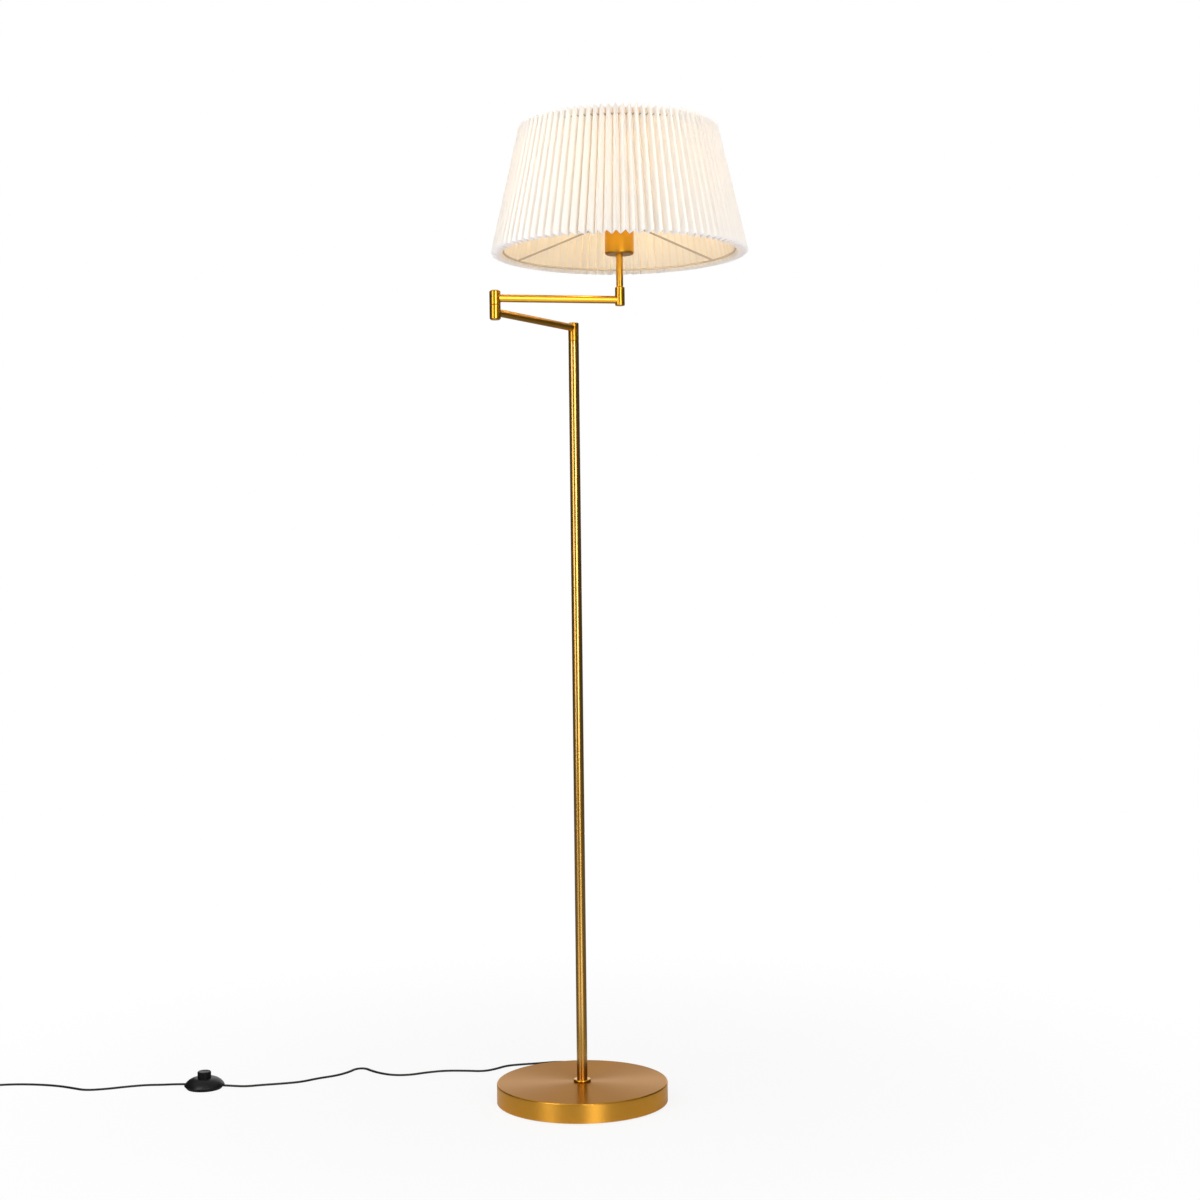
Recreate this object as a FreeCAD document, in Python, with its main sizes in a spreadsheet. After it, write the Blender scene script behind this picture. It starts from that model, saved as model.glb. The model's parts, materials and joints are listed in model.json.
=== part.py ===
import FreeCAD, Part
import math
import os
import re
import Sketcher

Vector = FreeCAD.Vector

# ---------------------------------------------------------------- driving sizes, in millimetres and degrees
SIZES = {
    # clearances between pieces
    "slip_gap": 0.05,
    "running_gap": 0.06,
    "swivel_gap": 0.1,
    "loose_gap": 0.3,
    # round base
    "base_diameter": 260,
    "base_rise": 29,
    "rim_clearance": 2,
    "shell_wall": 1.2,
    "shell_edge_radius": 2,
    "pad_inset": 8,
    "pad_thickness": 3,
    "cover_thickness": 1,
    "weight_rim_gap": 5.8,
    "weight_thickness": 17,
    "recess_diameter": 50,
    "recess_depth": 8,
    # threaded stud that clamps the pole to the base
    "stud_diameter": 10,
    "stud_bore": 7,
    "stud_tail": 0.3,
    "washer_diameter": 24,
    "washer_thickness": 1.5,
    "nut_across_corners": 19.6,
    "nut_thickness": 5,
    "collar_diameter": 27,
    "collar_height": 3.6,
    "collar_bulge": 1.2,
    # pole of three tubes
    "pole_diameter": 16,
    "pole_wall": 1.2,
    "pole_section": 374,
    "seam_chamfer": 0.5,
    "insert_length": 24,
    "coupler_length": 40,
    "coupler_bore": 8,
    # swivels
    "pivot_diameter": 10,
    "pivot_bore": 7,
    "pivot_depth": 18,
    "pivot_web": 9,
    "pivot_nut_thickness": 3,
    "cavity_diameter": 13,
    "cap_spigot": 1.5,
    "shoulder_hub_height": 28,
    "shoulder_cap_height": 2,
    "shoulder_cap_chamfer": 0.7,
    "shoulder_arm_rise": 20.6,
    # arms
    "arm_diameter": 11,
    "arm_wall": 1,
    "arm_spacing": 19.8,
    "lower_arm_reach": 207,
    "lower_arm_angle": -121.9,
    "upper_arm_reach": 181,
    "upper_arm_angle": 9.2,
    "elbow_diameter": 16,
    "elbow_hub_height": 21,
    "elbow_web": 3,
    "elbow_nut_thickness": 2.4,
    "elbow_pivot_depth": 4,
    "elbow_floor": 5,
    "elbow_chamfer": 1.8,
    "elbow_cap_height": 4,
    # head
    "head_hub_diameter": 14,
    "head_hub_height": 27.2,
    "head_hub_drop": 8.5,
    "head_hub_floor": 3,
    "head_hub_bore": 8,
    "head_hub_chamfer": 1.5,
    "stem_diameter": 10,
    "stem_bore": 6.4,
    "stem_seat": 10,
    "stem_reach": 46.3,
    "stem_nut_corners": 16,
    "stem_nut_thickness": 5,
    "cup_diameter": 42,
    "cup_height": 42,
    "cup_wall": 1,
    "cup_floor": 1.5,
    "cup_edge_radius": 3,
    # lampholder and bulb
    "holder_radius": 19,
    "holder_collar_depth": 9,
    "holder_floor_height": 27,
    "flange_thickness": 2,
    "skirt_radius": 19.6,
    "skirt_height": 22,
    "socket_radius": 14.7,
    "socket_shell_wall": 0.6,
    "socket_shell_height": 22,
    "contact_radius": 4,
    "contact_thickness": 1.6,
    "ring_nut_radius": 24.5,
    "ring_nut_height": 7,
    "bulb_cap_radius": 13.1,
    "bulb_cap_height": 27,
    "bulb_neck_radius": 12.6,
    "bulb_radius": 30,
    "bulb_glass_height": 80,
    "bulb_wall": 1,
    "bulb_shoulder_angle": 18,
    # pleated shade
    "shade_bottom_radius": 185.4,
    "shade_top_radius": 143.4,
    "shade_ridge_height": 180.8,
    "shade_drop": 42,
    "pleat_count": 90,
    "pleat_depth": 14,
    "fabric_thickness": 0.5,
    "ring_wire": 3,
    "bottom_ring_inset": 7,
    "top_ring_inset": 11,
    "spider_washer_radius": 27,
    "spider_washer_thickness": 1.5,
    "spoke_angle": 33,
    # mains cord, flat twin
    "cord_width": 4.8,
    "cord_thickness": 3,
    "lead_diameter": 3.6,
    "lead_bend": 7.8,
    "relief_height": 10,
    "relief_neck_radius": 4.5,
    "relief_flange_radius": 5.6,
    "relief_flange_thickness": 1.5,
    "relief_tip_radius": 3.1,
    "relief_length": 22,
    # foot switch
    "switch_place_x": -597.6,
    "switch_place_y": 104,
    "switch_angle": -9,
    "switch_radius": 31.4,
    "switch_foot_radius": 27,
    "switch_rim_height": 5,
    "switch_dome_height": 17,
    "switch_dome_bulge": 3.4,
    "switch_wall": 2,
    "switch_boss_radius": 3.2,
    "switch_screw_radius": 1.4,
    "switch_screw_length": 9,
    "switch_screw_head": 2.8,
    "switch_screw_head_height": 1.2,
    "switch_screw_spread": 19,
    "switch_boss_bottom": 3,
    "switch_boss_length": 10.2,
    "switch_block_radius": 8,
    "button_radius": 10.6,
    "button_height": 26.6,
    "button_edge": 1.2,
    "button_dish_depth": 1,
    "button_flange": 12.9,
    "button_flange_thickness": 1.5,
    "button_travel": 3.5,
    "button_stop_gap": 0.7,
    "button_skirt": 2,
    # coil of the put-away cord, and its tie
    "coil_place_x": -991,
    "coil_place_y": 159,
    "coil_lift": 0.9,
    "coil_radius": 36.9,
    "coil_pitch": 5.4,
    "coil_layer": 3.6,
    "coil_lower_turns": 3,
    "tie_thickness": 0.6,
    "tie_width": 5,
    "tie_slack": 0.9,
    # plug
    "plug_lead": 30,
    "plug_relief_length": 24,
    "plug_relief_root": 5,
    "plug_length": 36.5,
    "plug_width": 35.3,
    "plug_tail_width": 17,
    "plug_face_width": 29,
    "plug_shoulder": 15,
    "plug_cheek": 8,
    "plug_thickness": 13.7,
    "plug_edge": 2.5,
    "pin_radius": 2,
    "pin_length": 19,
    "pin_spacing": 19,
    "pin_seat": 6,
    "pin_root_radius": 2.8,
    "pin_tip": 0.8,
}

# ---------------------------------------------------------------- places worked out from the sizes
PLACES = {
    "nothing": "0",
    # base, from the floor up
    "base_radius": "base_diameter / 2",
    "rim_inner": "base_radius - shell_wall",
    "base_top": "rim_clearance + base_rise",
    "shell_ceiling": "base_rise - shell_wall",
    "pad_radius": "base_radius - pad_inset",
    "cover_radius": "rim_inner - 4 * slip_gap",
    "weight_radius": "rim_inner - weight_rim_gap",
    "weight_bottom": "base_top - shell_wall - weight_thickness",
    "recess_radius": "recess_diameter / 2",
    "washer_bottom": "weight_bottom + recess_depth - washer_thickness",
    "nut_bottom": "washer_bottom - nut_thickness",
    "stud_bottom": "nut_bottom - stud_tail",
    "stud_radius": "stud_diameter / 2",
    "stud_bore_radius": "stud_bore / 2",
    "stud_hole": "stud_radius + slip_gap",
    "washer_radius": "washer_diameter / 2",
    "nut_corner_radius": "nut_across_corners / 2",
    "collar_radius": "collar_diameter / 2",
    "collar_brow": "collar_radius - collar_bulge",
    "collar_bead": "(collar_height ^ 2 / 4 + collar_bulge ^ 2) / (2 * collar_bulge)",
    # pole
    "pole_radius": "pole_diameter / 2",
    "pole_inner": "pole_radius - pole_wall",
    "insert_radius": "pole_inner - slip_gap",
    "coupler_bore_radius": "coupler_bore / 2",
    "pole_foot": "base_top + collar_height",
    "pole_seam_low": "pole_foot + pole_section",
    "pole_seam_high": "pole_seam_low + pole_section",
    "pole_top": "pole_seam_high + pole_section",
    "stud_length": "pole_foot + insert_length - stud_bottom",
    "low_coupler_bottom": "pole_seam_low - coupler_length / 2",
    "high_coupler_bottom": "pole_seam_high - coupler_length / 2",
    "top_insert_bottom": "pole_top - insert_length",
    # shoulder swivel
    "pivot_radius": "pivot_diameter / 2",
    "pivot_bore_radius": "pivot_bore / 2",
    "pivot_seat": "pivot_radius + slip_gap",
    "pivot_bearing": "pivot_radius + running_gap",
    "cavity_radius": "cavity_diameter / 2",
    "pivot_nut_radius": "cavity_radius - loose_gap",
    "spigot_radius": "cavity_radius - slip_gap",
    "shoulder_bottom": "pole_top + swivel_gap",
    "shoulder_body_height": "shoulder_hub_height - shoulder_cap_height",
    "shoulder_cap_place": "shoulder_bottom + shoulder_body_height - cap_spigot",
    "shoulder_cap_brow": "pole_radius - shoulder_cap_chamfer",
    "shoulder_cap_cheek": "cap_spigot + shoulder_cap_height - shoulder_cap_chamfer",
    "shoulder_cap_top": "cap_spigot + shoulder_cap_height",
    "shoulder_nut_bottom": "shoulder_bottom + pivot_web + swivel_gap",
    "shoulder_pivot_bottom": "pole_top - pivot_depth",
    "shoulder_pivot_length": "shoulder_nut_bottom + pivot_nut_thickness - shoulder_pivot_bottom",
    "seam_line": "pole_radius - seam_chamfer",
    # arms and elbow
    "arm_radius": "arm_diameter / 2",
    "arm_bore": "arm_radius - arm_wall",
    "lower_arm_level": "shoulder_bottom + shoulder_arm_rise",
    "upper_arm_level": "lower_arm_level + arm_spacing",
    "elbow_seam": "lower_arm_level + arm_spacing / 2",
    "elbow_x": "lower_arm_reach * cos(lower_arm_angle)",
    "elbow_y": "lower_arm_reach * sin(lower_arm_angle)",
    "elbow_radius": "elbow_diameter / 2",
    "elbow_brow": "elbow_radius - elbow_chamfer",
    "elbow_seam_line": "elbow_radius - seam_chamfer",
    "shoulder_cope": "pole_radius + slip_gap",
    "elbow_cope": "elbow_radius + slip_gap",
    "lower_hub_bottom": "elbow_seam - swivel_gap / 2 - elbow_hub_height",
    "lower_hub_cheek": "elbow_hub_height - seam_chamfer",
    "lower_hub_arm": "lower_arm_level - lower_hub_bottom",
    "elbow_pivot_bottom": "elbow_seam - elbow_pivot_depth",
    "upper_hub_bottom": "elbow_seam + swivel_gap / 2",
    "upper_hub_height": "elbow_hub_height - elbow_cap_height",
    "upper_hub_arm": "upper_arm_level - upper_hub_bottom",
    "elbow_nut_bottom": "upper_hub_bottom + elbow_web + swivel_gap",
    "elbow_pivot_length": "elbow_nut_bottom + elbow_nut_thickness - elbow_pivot_bottom",
    "elbow_cap_place": "upper_hub_bottom + upper_hub_height - cap_spigot",
    "elbow_cap_cheek": "cap_spigot + elbow_cap_height - elbow_chamfer",
    "elbow_cap_top": "cap_spigot + elbow_cap_height",
    # head
    "head_x": "elbow_x + upper_arm_reach * cos(upper_arm_angle)",
    "head_y": "elbow_y + upper_arm_reach * sin(upper_arm_angle)",
    "head_radius": "head_hub_diameter / 2",
    "head_cope": "head_radius + slip_gap",
    "head_bore": "head_hub_bore / 2",
    "head_brow": "head_radius - head_hub_chamfer",
    "head_foot_chamfer": "head_hub_chamfer / 2",
    "head_foot_brow": "head_radius - head_foot_chamfer",
    "head_cheek": "head_hub_height - head_hub_chamfer",
    "head_seat_bottom": "head_hub_height - stem_seat",
    "head_hub_bottom": "upper_arm_level - head_hub_drop",
    "stem_radius": "stem_diameter / 2",
    "stem_bore_radius": "stem_bore / 2",
    "stem_hole": "stem_radius + slip_gap",
    "stem_bottom": "head_hub_bottom + head_seat_bottom",
    "cup_radius": "cup_diameter / 2",
    "cup_inner": "cup_radius - cup_wall",
    "cup_inner_edge": "cup_edge_radius - cup_wall",
    "cup_bottom": "head_hub_bottom + head_hub_height + stem_reach",
    "cup_top": "cup_bottom + cup_height",
    "stem_nut_bottom": "cup_bottom + cup_floor",
    "stem_nut_corner_radius": "stem_nut_corners / 2",
    "holder_bottom": "stem_nut_bottom + stem_nut_thickness + loose_gap",
    "holder_flange": "cup_top - holder_bottom",
    "holder_flange_top": "holder_flange + flange_thickness",
    "holder_top": "holder_flange_top + skirt_height",
    "washer_hole": "skirt_radius + slip_gap",
    "stem_length": "holder_bottom + holder_collar_depth - loose_gap - stem_bottom",
    "spider_level": "holder_bottom + holder_flange_top",
    "ring_nut_bottom": "spider_level + spider_washer_thickness",
    "contact_bottom": "holder_bottom + holder_floor_height",
    "socket_shell_outer": "socket_radius - slip_gap",
    "socket_shell_inner": "socket_shell_outer - socket_shell_wall",
    "bulb_cap_bottom": "contact_bottom + contact_thickness",
    "glass_bottom": "bulb_cap_bottom + bulb_cap_height",
    "globe_middle": "glass_bottom + bulb_glass_height - bulb_radius",
    "globe_foot_radius": "bulb_radius * cos(bulb_shoulder_angle)",
    "globe_foot": "globe_middle - bulb_radius * sin(bulb_shoulder_angle)",
    "neck_height": "globe_foot - glass_bottom",
    "globe_inner": "bulb_radius - bulb_wall",
    "neck_inner": "bulb_neck_radius - bulb_wall",
    "globe_foot_inner": "globe_foot_radius - bulb_wall",
    # shade
    "shade_slope": "shade_bottom_radius - shade_top_radius",
    "shade_slant": "sqrt(shade_slope ^ 2 + shade_ridge_height ^ 2)",
    "slant_sine": "shade_slope / shade_slant",
    "slant_cosine": "shade_ridge_height / shade_slant",
    "slant_tangent": "shade_slope / shade_ridge_height",
    "ridge_bottom": "spider_level - shade_drop",
    "ridge_top": "ridge_bottom + shade_ridge_height",
    "valley_bottom": "ridge_bottom - pleat_depth * slant_sine",
    "valley_bottom_radius": "shade_bottom_radius - pleat_depth * slant_cosine",
    "valley_top": "ridge_top - pleat_depth * slant_sine",
    "valley_top_radius": "shade_top_radius - pleat_depth * slant_cosine",
    "ring_wire_radius": "ring_wire / 2",
    "pleat_run": "pleat_depth / slant_cosine",
    "half_pleat": "pi * (shade_bottom_radius + shade_top_radius - pleat_depth) / (2 * pleat_count)",
    "pleat_face": "sqrt(half_pleat ^ 2 + pleat_depth ^ 2)",
    "fold_inset": "fabric_thickness * pleat_face / half_pleat",
    "ring_room": "ring_wire_radius + fold_inset + 2 * slip_gap",
    "ring_groove_radius": "ring_wire_radius + slip_gap",
    "bottom_ring_level": "valley_bottom + bottom_ring_inset",
    "bottom_ring_radius": "valley_bottom_radius - bottom_ring_inset * slant_tangent - ring_room",
    "top_ring_level": "valley_top - top_ring_inset",
    "top_ring_radius": "valley_top_radius + top_ring_inset * slant_tangent - ring_room",
    "spoke_start_radius": "spider_washer_radius - ring_wire_radius",
    "spoke_start_level": "spider_level + spider_washer_thickness / 2",
    # strain relief at the back of the base
    "relief_hole_height": "relief_height - rim_clearance",
    "relief_hole": "relief_neck_radius + slip_gap",
    "relief_inner_face": "rim_inner - loose_gap - relief_flange_thickness",
    "relief_neck_start": "relief_flange_thickness",
    "relief_neck_end": "relief_flange_thickness + shell_wall + loose_gap + slip_gap",
    "relief_tail_start": "relief_neck_end + relief_flange_thickness",
    "relief_end": "relief_tail_start + relief_length",
    "relief_tip": "relief_inner_face + relief_end",
    # foot switch
    "switch_inner": "switch_radius - switch_wall",
    "switch_foot_inner": "switch_foot_radius - switch_wall",
    "button_hole": "button_radius + loose_gap",
    "switch_dome_run": "switch_radius - button_hole",
    "switch_dome_rise": "switch_dome_height - switch_rim_height",
    "dome_chord": "sqrt(switch_dome_run ^ 2 + switch_dome_rise ^ 2)",
    "dome_arc": "(dome_chord ^ 2 / 4 + switch_dome_bulge ^ 2) / (2 * switch_dome_bulge)",
    "dome_underside": "switch_dome_height - switch_wall",
    "dome_inner_chord": "sqrt((switch_dome_run - switch_wall) ^ 2 + (switch_dome_rise - switch_wall) ^ 2)",
    "dome_inner_arc": "(dome_inner_chord ^ 2 / 4 + switch_dome_bulge ^ 2) / (2 * switch_dome_bulge)",
    "button_flange_top": "dome_underside - loose_gap",
    "button_flange_bottom": "button_flange_top - button_flange_thickness",
    "button_skirt_bottom": "button_flange_bottom - button_skirt",
    "button_crown": "button_height - button_skirt_bottom",
    "switch_block_height": "button_skirt_bottom - button_travel - button_stop_gap - switch_wall",
    "button_flange_high": "button_skirt + button_flange_thickness",
    "button_brow": "button_radius - button_edge",
    "button_cheek": "button_crown - button_edge",
    "button_dish": "button_crown - button_dish_depth",
    "button_dish_arc": "(button_brow ^ 2 + button_dish_depth ^ 2) / (2 * button_dish_depth)",
    "screw_hole": "switch_screw_radius + slip_gap",
    "screw_head_hole": "switch_screw_head + slip_gap",
    "screw_recess": "switch_screw_head_height + slip_gap",
    "screw_near": "-switch_screw_spread",
    "screw_shift_x": "switch_screw_spread * sin(switch_angle)",
    "screw_shift_y": "switch_screw_spread * cos(switch_angle)",
    "screw_far_x": "switch_place_x - screw_shift_x",
    "screw_far_y": "switch_place_y + screw_shift_y",
    "screw_near_x": "switch_place_x + screw_shift_x",
    "screw_near_y": "switch_place_y - screw_shift_y",
    "switch_entry": "switch_radius - switch_wall / 2",
    "cord_hole": "cord_width / 2 + loose_gap",
    # coil, tie and plug
    "coil_low": "coil_lift + cord_thickness / 2",
    "coil_high": "coil_low + coil_layer",
    "coil_west": "coil_place_x - coil_radius",
    "tie_near": "coil_radius - coil_lower_turns * coil_pitch + coil_pitch / 2 - cord_width / 2 - tie_slack",
    "tie_far": "coil_radius - coil_pitch / 2 + cord_width / 2 + tie_slack",
    "tie_room": "tie_far - tie_near",
    "tie_length": "tie_room + 2 * tie_thickness",
    "tie_room_start": "coil_place_x + tie_near",
    "tie_start": "tie_room_start - tie_thickness",
    "tie_side": "coil_place_y - tie_width / 2",
    "tie_room_height": "coil_high + cord_thickness / 2 + loose_gap - tie_thickness",
    "tie_height": "tie_room_height + 2 * tie_thickness",
    "pilot_depth": "switch_screw_length + loose_gap",
    "plug_axis": "plug_thickness / 2",
    "plug_relief_start": "coil_place_y + cord_width + plug_lead",
    "plug_start": "plug_relief_start + plug_relief_length",
    "plug_half": "plug_width / 2",
    "plug_half_west": "-plug_half",
    "plug_tail_half": "plug_tail_width / 2",
    "plug_tail_west": "-plug_tail_half",
    "plug_face_half": "plug_face_width / 2",
    "plug_face_west": "-plug_face_half",
    "pin_east": "coil_west + pin_spacing / 2",
    "pin_west": "coil_west - pin_spacing / 2",
    "plug_cheek_start": "plug_length - plug_cheek",
    "pin_start": "plug_start + plug_length - pin_seat",
    "pin_whole": "pin_seat + pin_length",
    "pin_brow": "pin_radius - pin_tip",
    "pin_cheek": "pin_whole - pin_tip",
    "pin_hole": "pin_root_radius + slip_gap",
}

# Hand-chosen points of the free cord, on the floor behind and to the left of the base: x, y, height of its middle
SWITCH_CORD_POINTS = [
    (0, 167, 10),
    (0, 182, 6.6),
    (0, 197, 1.6),
    (0, 211, 1.6),
    (-8, 226, 1.6),
    (-24, 236, 1.6),
    (-48, 237, 1.6),
    (-73, 229, 1.6),
    (-98, 224, 1.6),
    (-126, 216, 1.6),
    (-143, 195, 1.6),
    (-162, 181, 1.6),
    (-190, 186, 1.6),
    (-225, 188, 1.6),
    (-254, 178, 1.6),
    (-280, 163, 1.6),
    (-306, 163, 1.6),
    (-328, 176, 1.6),
    (-344, 192, 1.6),
    (-357, 210, 1.6),
    (-372, 207, 1.6),
    (-380, 187, 1.6),
    (-397, 165, 1.6),
    (-425, 149, 1.6),
    (-448, 128, 1.6),
    (-478, 118.5, 1.6),
    (-508, 112, 1.6),
    (-532, 101, 2.4),
    (-550, 96.4, 4.6),
]
PLUG_CORD_POINTS = [
    (-646, 111.8, 4.4),
    (-667, 118, 2.1),
    (-692, 120, 1.6),
    (-722, 111, 1.6),
    (-752, 98, 1.6),
    (-783, 92, 1.6),
    (-806, 106, 1.6),
    (-832, 120, 1.6),
    (-866, 130, 1.6),
    (-905, 134, 1.6),
    (-940, 129, 1.6),
    (-968, 122, 2.2),
]


# ---------------------------------------------------------------- document, sheets and small helpers
doc = FreeCAD.newDocument("BridgeLamp")


def fill_sheet(name, cells, as_formula):
    """One row per value: its name in column A, the value under that alias in column B."""
    sheet = doc.addObject("Spreadsheet::Sheet", name)
    for row, (alias, value) in enumerate(cells.items(), start=1):
        sheet.set(f"A{row}", alias)
        sheet.set(f"B{row}", as_formula(value))
        sheet.setAlias(f"B{row}", alias)
    doc.recompute()
    return sheet


def from_sizes(formula):
    """The formula with each driving size named in its own sheet."""
    return "=" + re.sub(r"[a-z_]+", lambda word: f"Sizes.{word[0]}" if word[0] in SIZES else word[0], formula)


sizes = fill_sheet("Sizes", SIZES, str)
places = fill_sheet("Places", PLACES, from_sizes)


def cell(alias):
    """The expression that points at a named value."""
    return f"Sizes.{alias}" if alias in SIZES else f"Places.{alias}"


def value(alias):
    """The number that a named value holds now."""
    return float((sizes if alias in SIZES else places).get(alias))


def bind(thing, **properties):
    """Ties properties to named values; a double underscore stands for the dot in a property's path."""
    for path, alias in properties.items():
        thing.setExpression(path.replace("__", "."), cell(alias))


def place(thing, x="nothing", y="nothing", z="nothing", turn="nothing"):
    """Puts a sub-part at named coordinates, turned about the vertical by a named angle."""
    thing.Placement = FreeCAD.Placement(Vector(), FreeCAD.Rotation(Vector(0, 0, 1), 1))
    bind(thing, Placement__Base__x=x, Placement__Base__y=y, Placement__Base__z=z)
    bind(thing, Placement__Rotation__Angle=turn)
    return thing


parts = []


def keep(thing, node):
    """Marks a finished sub-part; its label names its file."""
    thing.Label = node
    parts.append(thing)
    return thing


def new_sketch(body, role, name):
    plane = next(feature for feature in body.Origin.OriginFeatures if feature.Role == role)
    sketch = body.newObject("Sketcher::SketchObject", name)
    sketch.AttachmentSupport = [(plane, "")]
    sketch.MapMode = "FlatFace"
    return sketch


def fix(sketch, kind, where, amount, alias):
    """A named dimension of a sketch, tied to a named value."""
    index = sketch.addConstraint(Sketcher.Constraint(kind, *where, amount))
    label = f"{alias}_{index}"
    sketch.renameConstraint(index, label)
    sketch.setExpression(f"Constraints.{label}", cell(alias))


def arc_between(start, end, radius, side):
    """An arc of the given radius that bulges to the right of its chord for side 1, to the left for side -1."""
    chord = end - start
    half = chord.Length / 2
    sagitta = radius - math.sqrt(max(radius * radius - half * half, 0))
    middle = (start + end) / 2 + Vector(chord.y, -chord.x, 0).normalize() * (side * sagitta)
    return Part.Arc(start, middle, end) if side > 0 else Part.Arc(end, middle, start)


def draw_outline(sketch, points):
    """A closed outline through named points (across, up), with an arc after a point that names its radius and side."""
    spots = [Vector(value(point[0]), value(point[1]), 0) for point in points]
    ends = []
    for index, (start, point) in enumerate(zip(spots, points)):
        end = spots[(index + 1) % len(spots)]
        if len(point) == 4:
            sketch.addGeometry(arc_between(start, end, value(point[2]), point[3]), False)
            forward = sketch.Geometry[index].StartPoint.distanceToPoint(start) < 1e-6
            ends.append((1, 2) if forward else (2, 1))
        else:
            sketch.addGeometry(Part.LineSegment(start, end), False)
            ends.append((1, 2))
    for index, point in enumerate(points):
        following = (index + 1) % len(points)
        sketch.addConstraint(
            Sketcher.Constraint("Coincident", index, ends[index][1], following, ends[following][0])
        )
        for kind, axis, alias, amount in (
            ("DistanceX", -2, point[0], spots[index].x),
            ("DistanceY", -1, point[1], spots[index].y),
        ):
            if alias == "nothing":
                sketch.addConstraint(Sketcher.Constraint("PointOnObject", index, ends[index][0], axis))
            else:
                fix(sketch, kind, (-1, 1, index, ends[index][0]), amount, alias)
        if len(point) == 4:
            fix(sketch, "Radius", (index,), value(point[2]), point[2])


def draw_circle(sketch, radius, across="nothing", up="nothing"):
    """A circle at named coordinates in the sketch."""
    middle = Vector(value(across), value(up), 0)
    index = sketch.addGeometry(Part.Circle(middle, Vector(0, 0, 1), value(radius)), False)
    fix(sketch, "Radius", (index,), value(radius), radius)
    for kind, axis, alias, amount in (("DistanceX", -2, across, middle.x), ("DistanceY", -1, up, middle.y)):
        if alias == "nothing":
            sketch.addConstraint(Sketcher.Constraint("PointOnObject", index, 3, axis))
        else:
            fix(sketch, kind, (-1, 1, index, 3), amount, alias)


def turned(node, points):
    """A body turned about its own upright axis from an outline of (radius, height)."""
    body = doc.addObject("PartDesign::Body", node)
    outline = new_sketch(body, "XZ_Plane", f"{node}_outline")
    draw_outline(outline, points)
    turning = body.newObject("PartDesign::Revolution", f"{node}_turning")
    turning.Profile = outline
    turning.ReferenceAxis = (outline, ["V_Axis"])
    turning.Angle = 360
    doc.recompute()
    return body


def tube(node, outer, bore, length, role="XY_Plane"):
    """A round tube along its own Z axis, or along X from a sketch on the YZ plane."""
    body = doc.addObject("PartDesign::Body", node)
    rings = new_sketch(body, role, f"{node}_rings")
    draw_circle(rings, outer)
    draw_circle(rings, bore)
    pad = body.newObject("PartDesign::Pad", f"{node}_length")
    pad.Profile = rings
    bind(pad, Length=length)
    doc.recompute()
    return body


def drill(body, node, radius, height, reverse, length, role="YZ_Plane", across="nothing"):
    """A round hole from the body's axis outwards; it has to take material away."""
    before = body.Shape.Volume
    sketch = new_sketch(body, role, f"{node}_hole")
    draw_circle(sketch, radius, across, height)
    hole = body.newObject("PartDesign::Pocket", f"{node}_drilling")
    hole.Profile = sketch
    hole.Reversed = reverse
    bind(hole, Length=length)
    doc.recompute()
    if body.Shape.Volume > before - 1e-3:
        raise ValueError(f"the hole {node} cuts nothing")
    return body


def ring_edges(shape, radius, height):
    """The names of a shape's circular edges with the given radius and height."""
    names = []
    for number, edge in enumerate(shape.Edges, start=1):
        curve = edge.Curve
        if not isinstance(curve, Part.Circle):
            continue
        if abs(curve.Radius - radius) < 1e-4 and abs(curve.Center.z - height) < 1e-4:
            names.append(f"Edge{number}")
    return names


def level_edges(shape, height):
    """The names of a shape's edges that lie wholly at one height."""
    return [
        f"Edge{number}"
        for number, edge in enumerate(shape.Edges, start=1)
        if all(abs(vertex.Z - height) < 1e-4 for vertex in edge.Vertexes)
    ]


def dress(body, kind, size, names):
    """A fillet or a chamfer of a named size on the named edges of the body's last feature."""
    base = body.Tip
    feature = body.newObject(f"PartDesign::{kind}", f"{body.Name}_{kind.lower()}")
    feature.Base = (base, names)
    bind(feature, **{"Radius" if kind == "Fillet" else "Size": size})
    doc.recompute()
    return body


def dress_rings(body, kind, size, rings):
    """A fillet or a chamfer on the circular edges at the named radii and heights."""
    shape = body.Tip.Shape
    names = [name for radius, height in rings for name in ring_edges(shape, value(radius), value(height))]
    return dress(body, kind, size, names)


def primitive(kind, name, **named):
    thing = doc.addObject(f"Part::{kind}", name)
    bind(thing, **named)
    return thing


def cut(node, base, tool):
    """One piece with another taken out of it."""
    result = doc.addObject("Part::Cut", node)
    result.Base = base
    result.Tool = tool
    return result


def fuse(node, pieces):
    result = doc.addObject("Part::MultiFuse", node)
    result.Shapes = pieces
    return result


def cylinder_at(name, radius, height, x="nothing", y="nothing", z="nothing"):
    return place(primitive("Cylinder", name, Radius=radius, Height=height), x, y, z)


def shaped(node, shape):
    """A sub-part whose shape is worked out from the sheets' values by this file."""
    feature = doc.addObject("Part::Feature", node)
    feature.Shape = shape
    return feature


# ---------------------------------------------------------------- routes of cords and leads
def corner_radius(before, corner, after):
    """The radius of the arc that two runs allow, and how far from the corner it starts."""
    shorter = min((corner - before).Length, (after - corner).Length)
    turn = (corner - before).getAngle(after - corner)
    reach = 0.45 * shorter
    return reach / math.tan(turn / 2), reach


def arc_from(start, direction, end):
    """The arc from start, leaving along direction, to end."""
    chord = end - start
    along = Vector(chord).normalize()
    angle = direction.getAngle(along)
    across = (direction - along * direction.dot(along)).normalize()
    return Part.Arc(start, (start + end) / 2 + across * (chord.Length / 2 * math.tan(angle / 2)), end)


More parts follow.
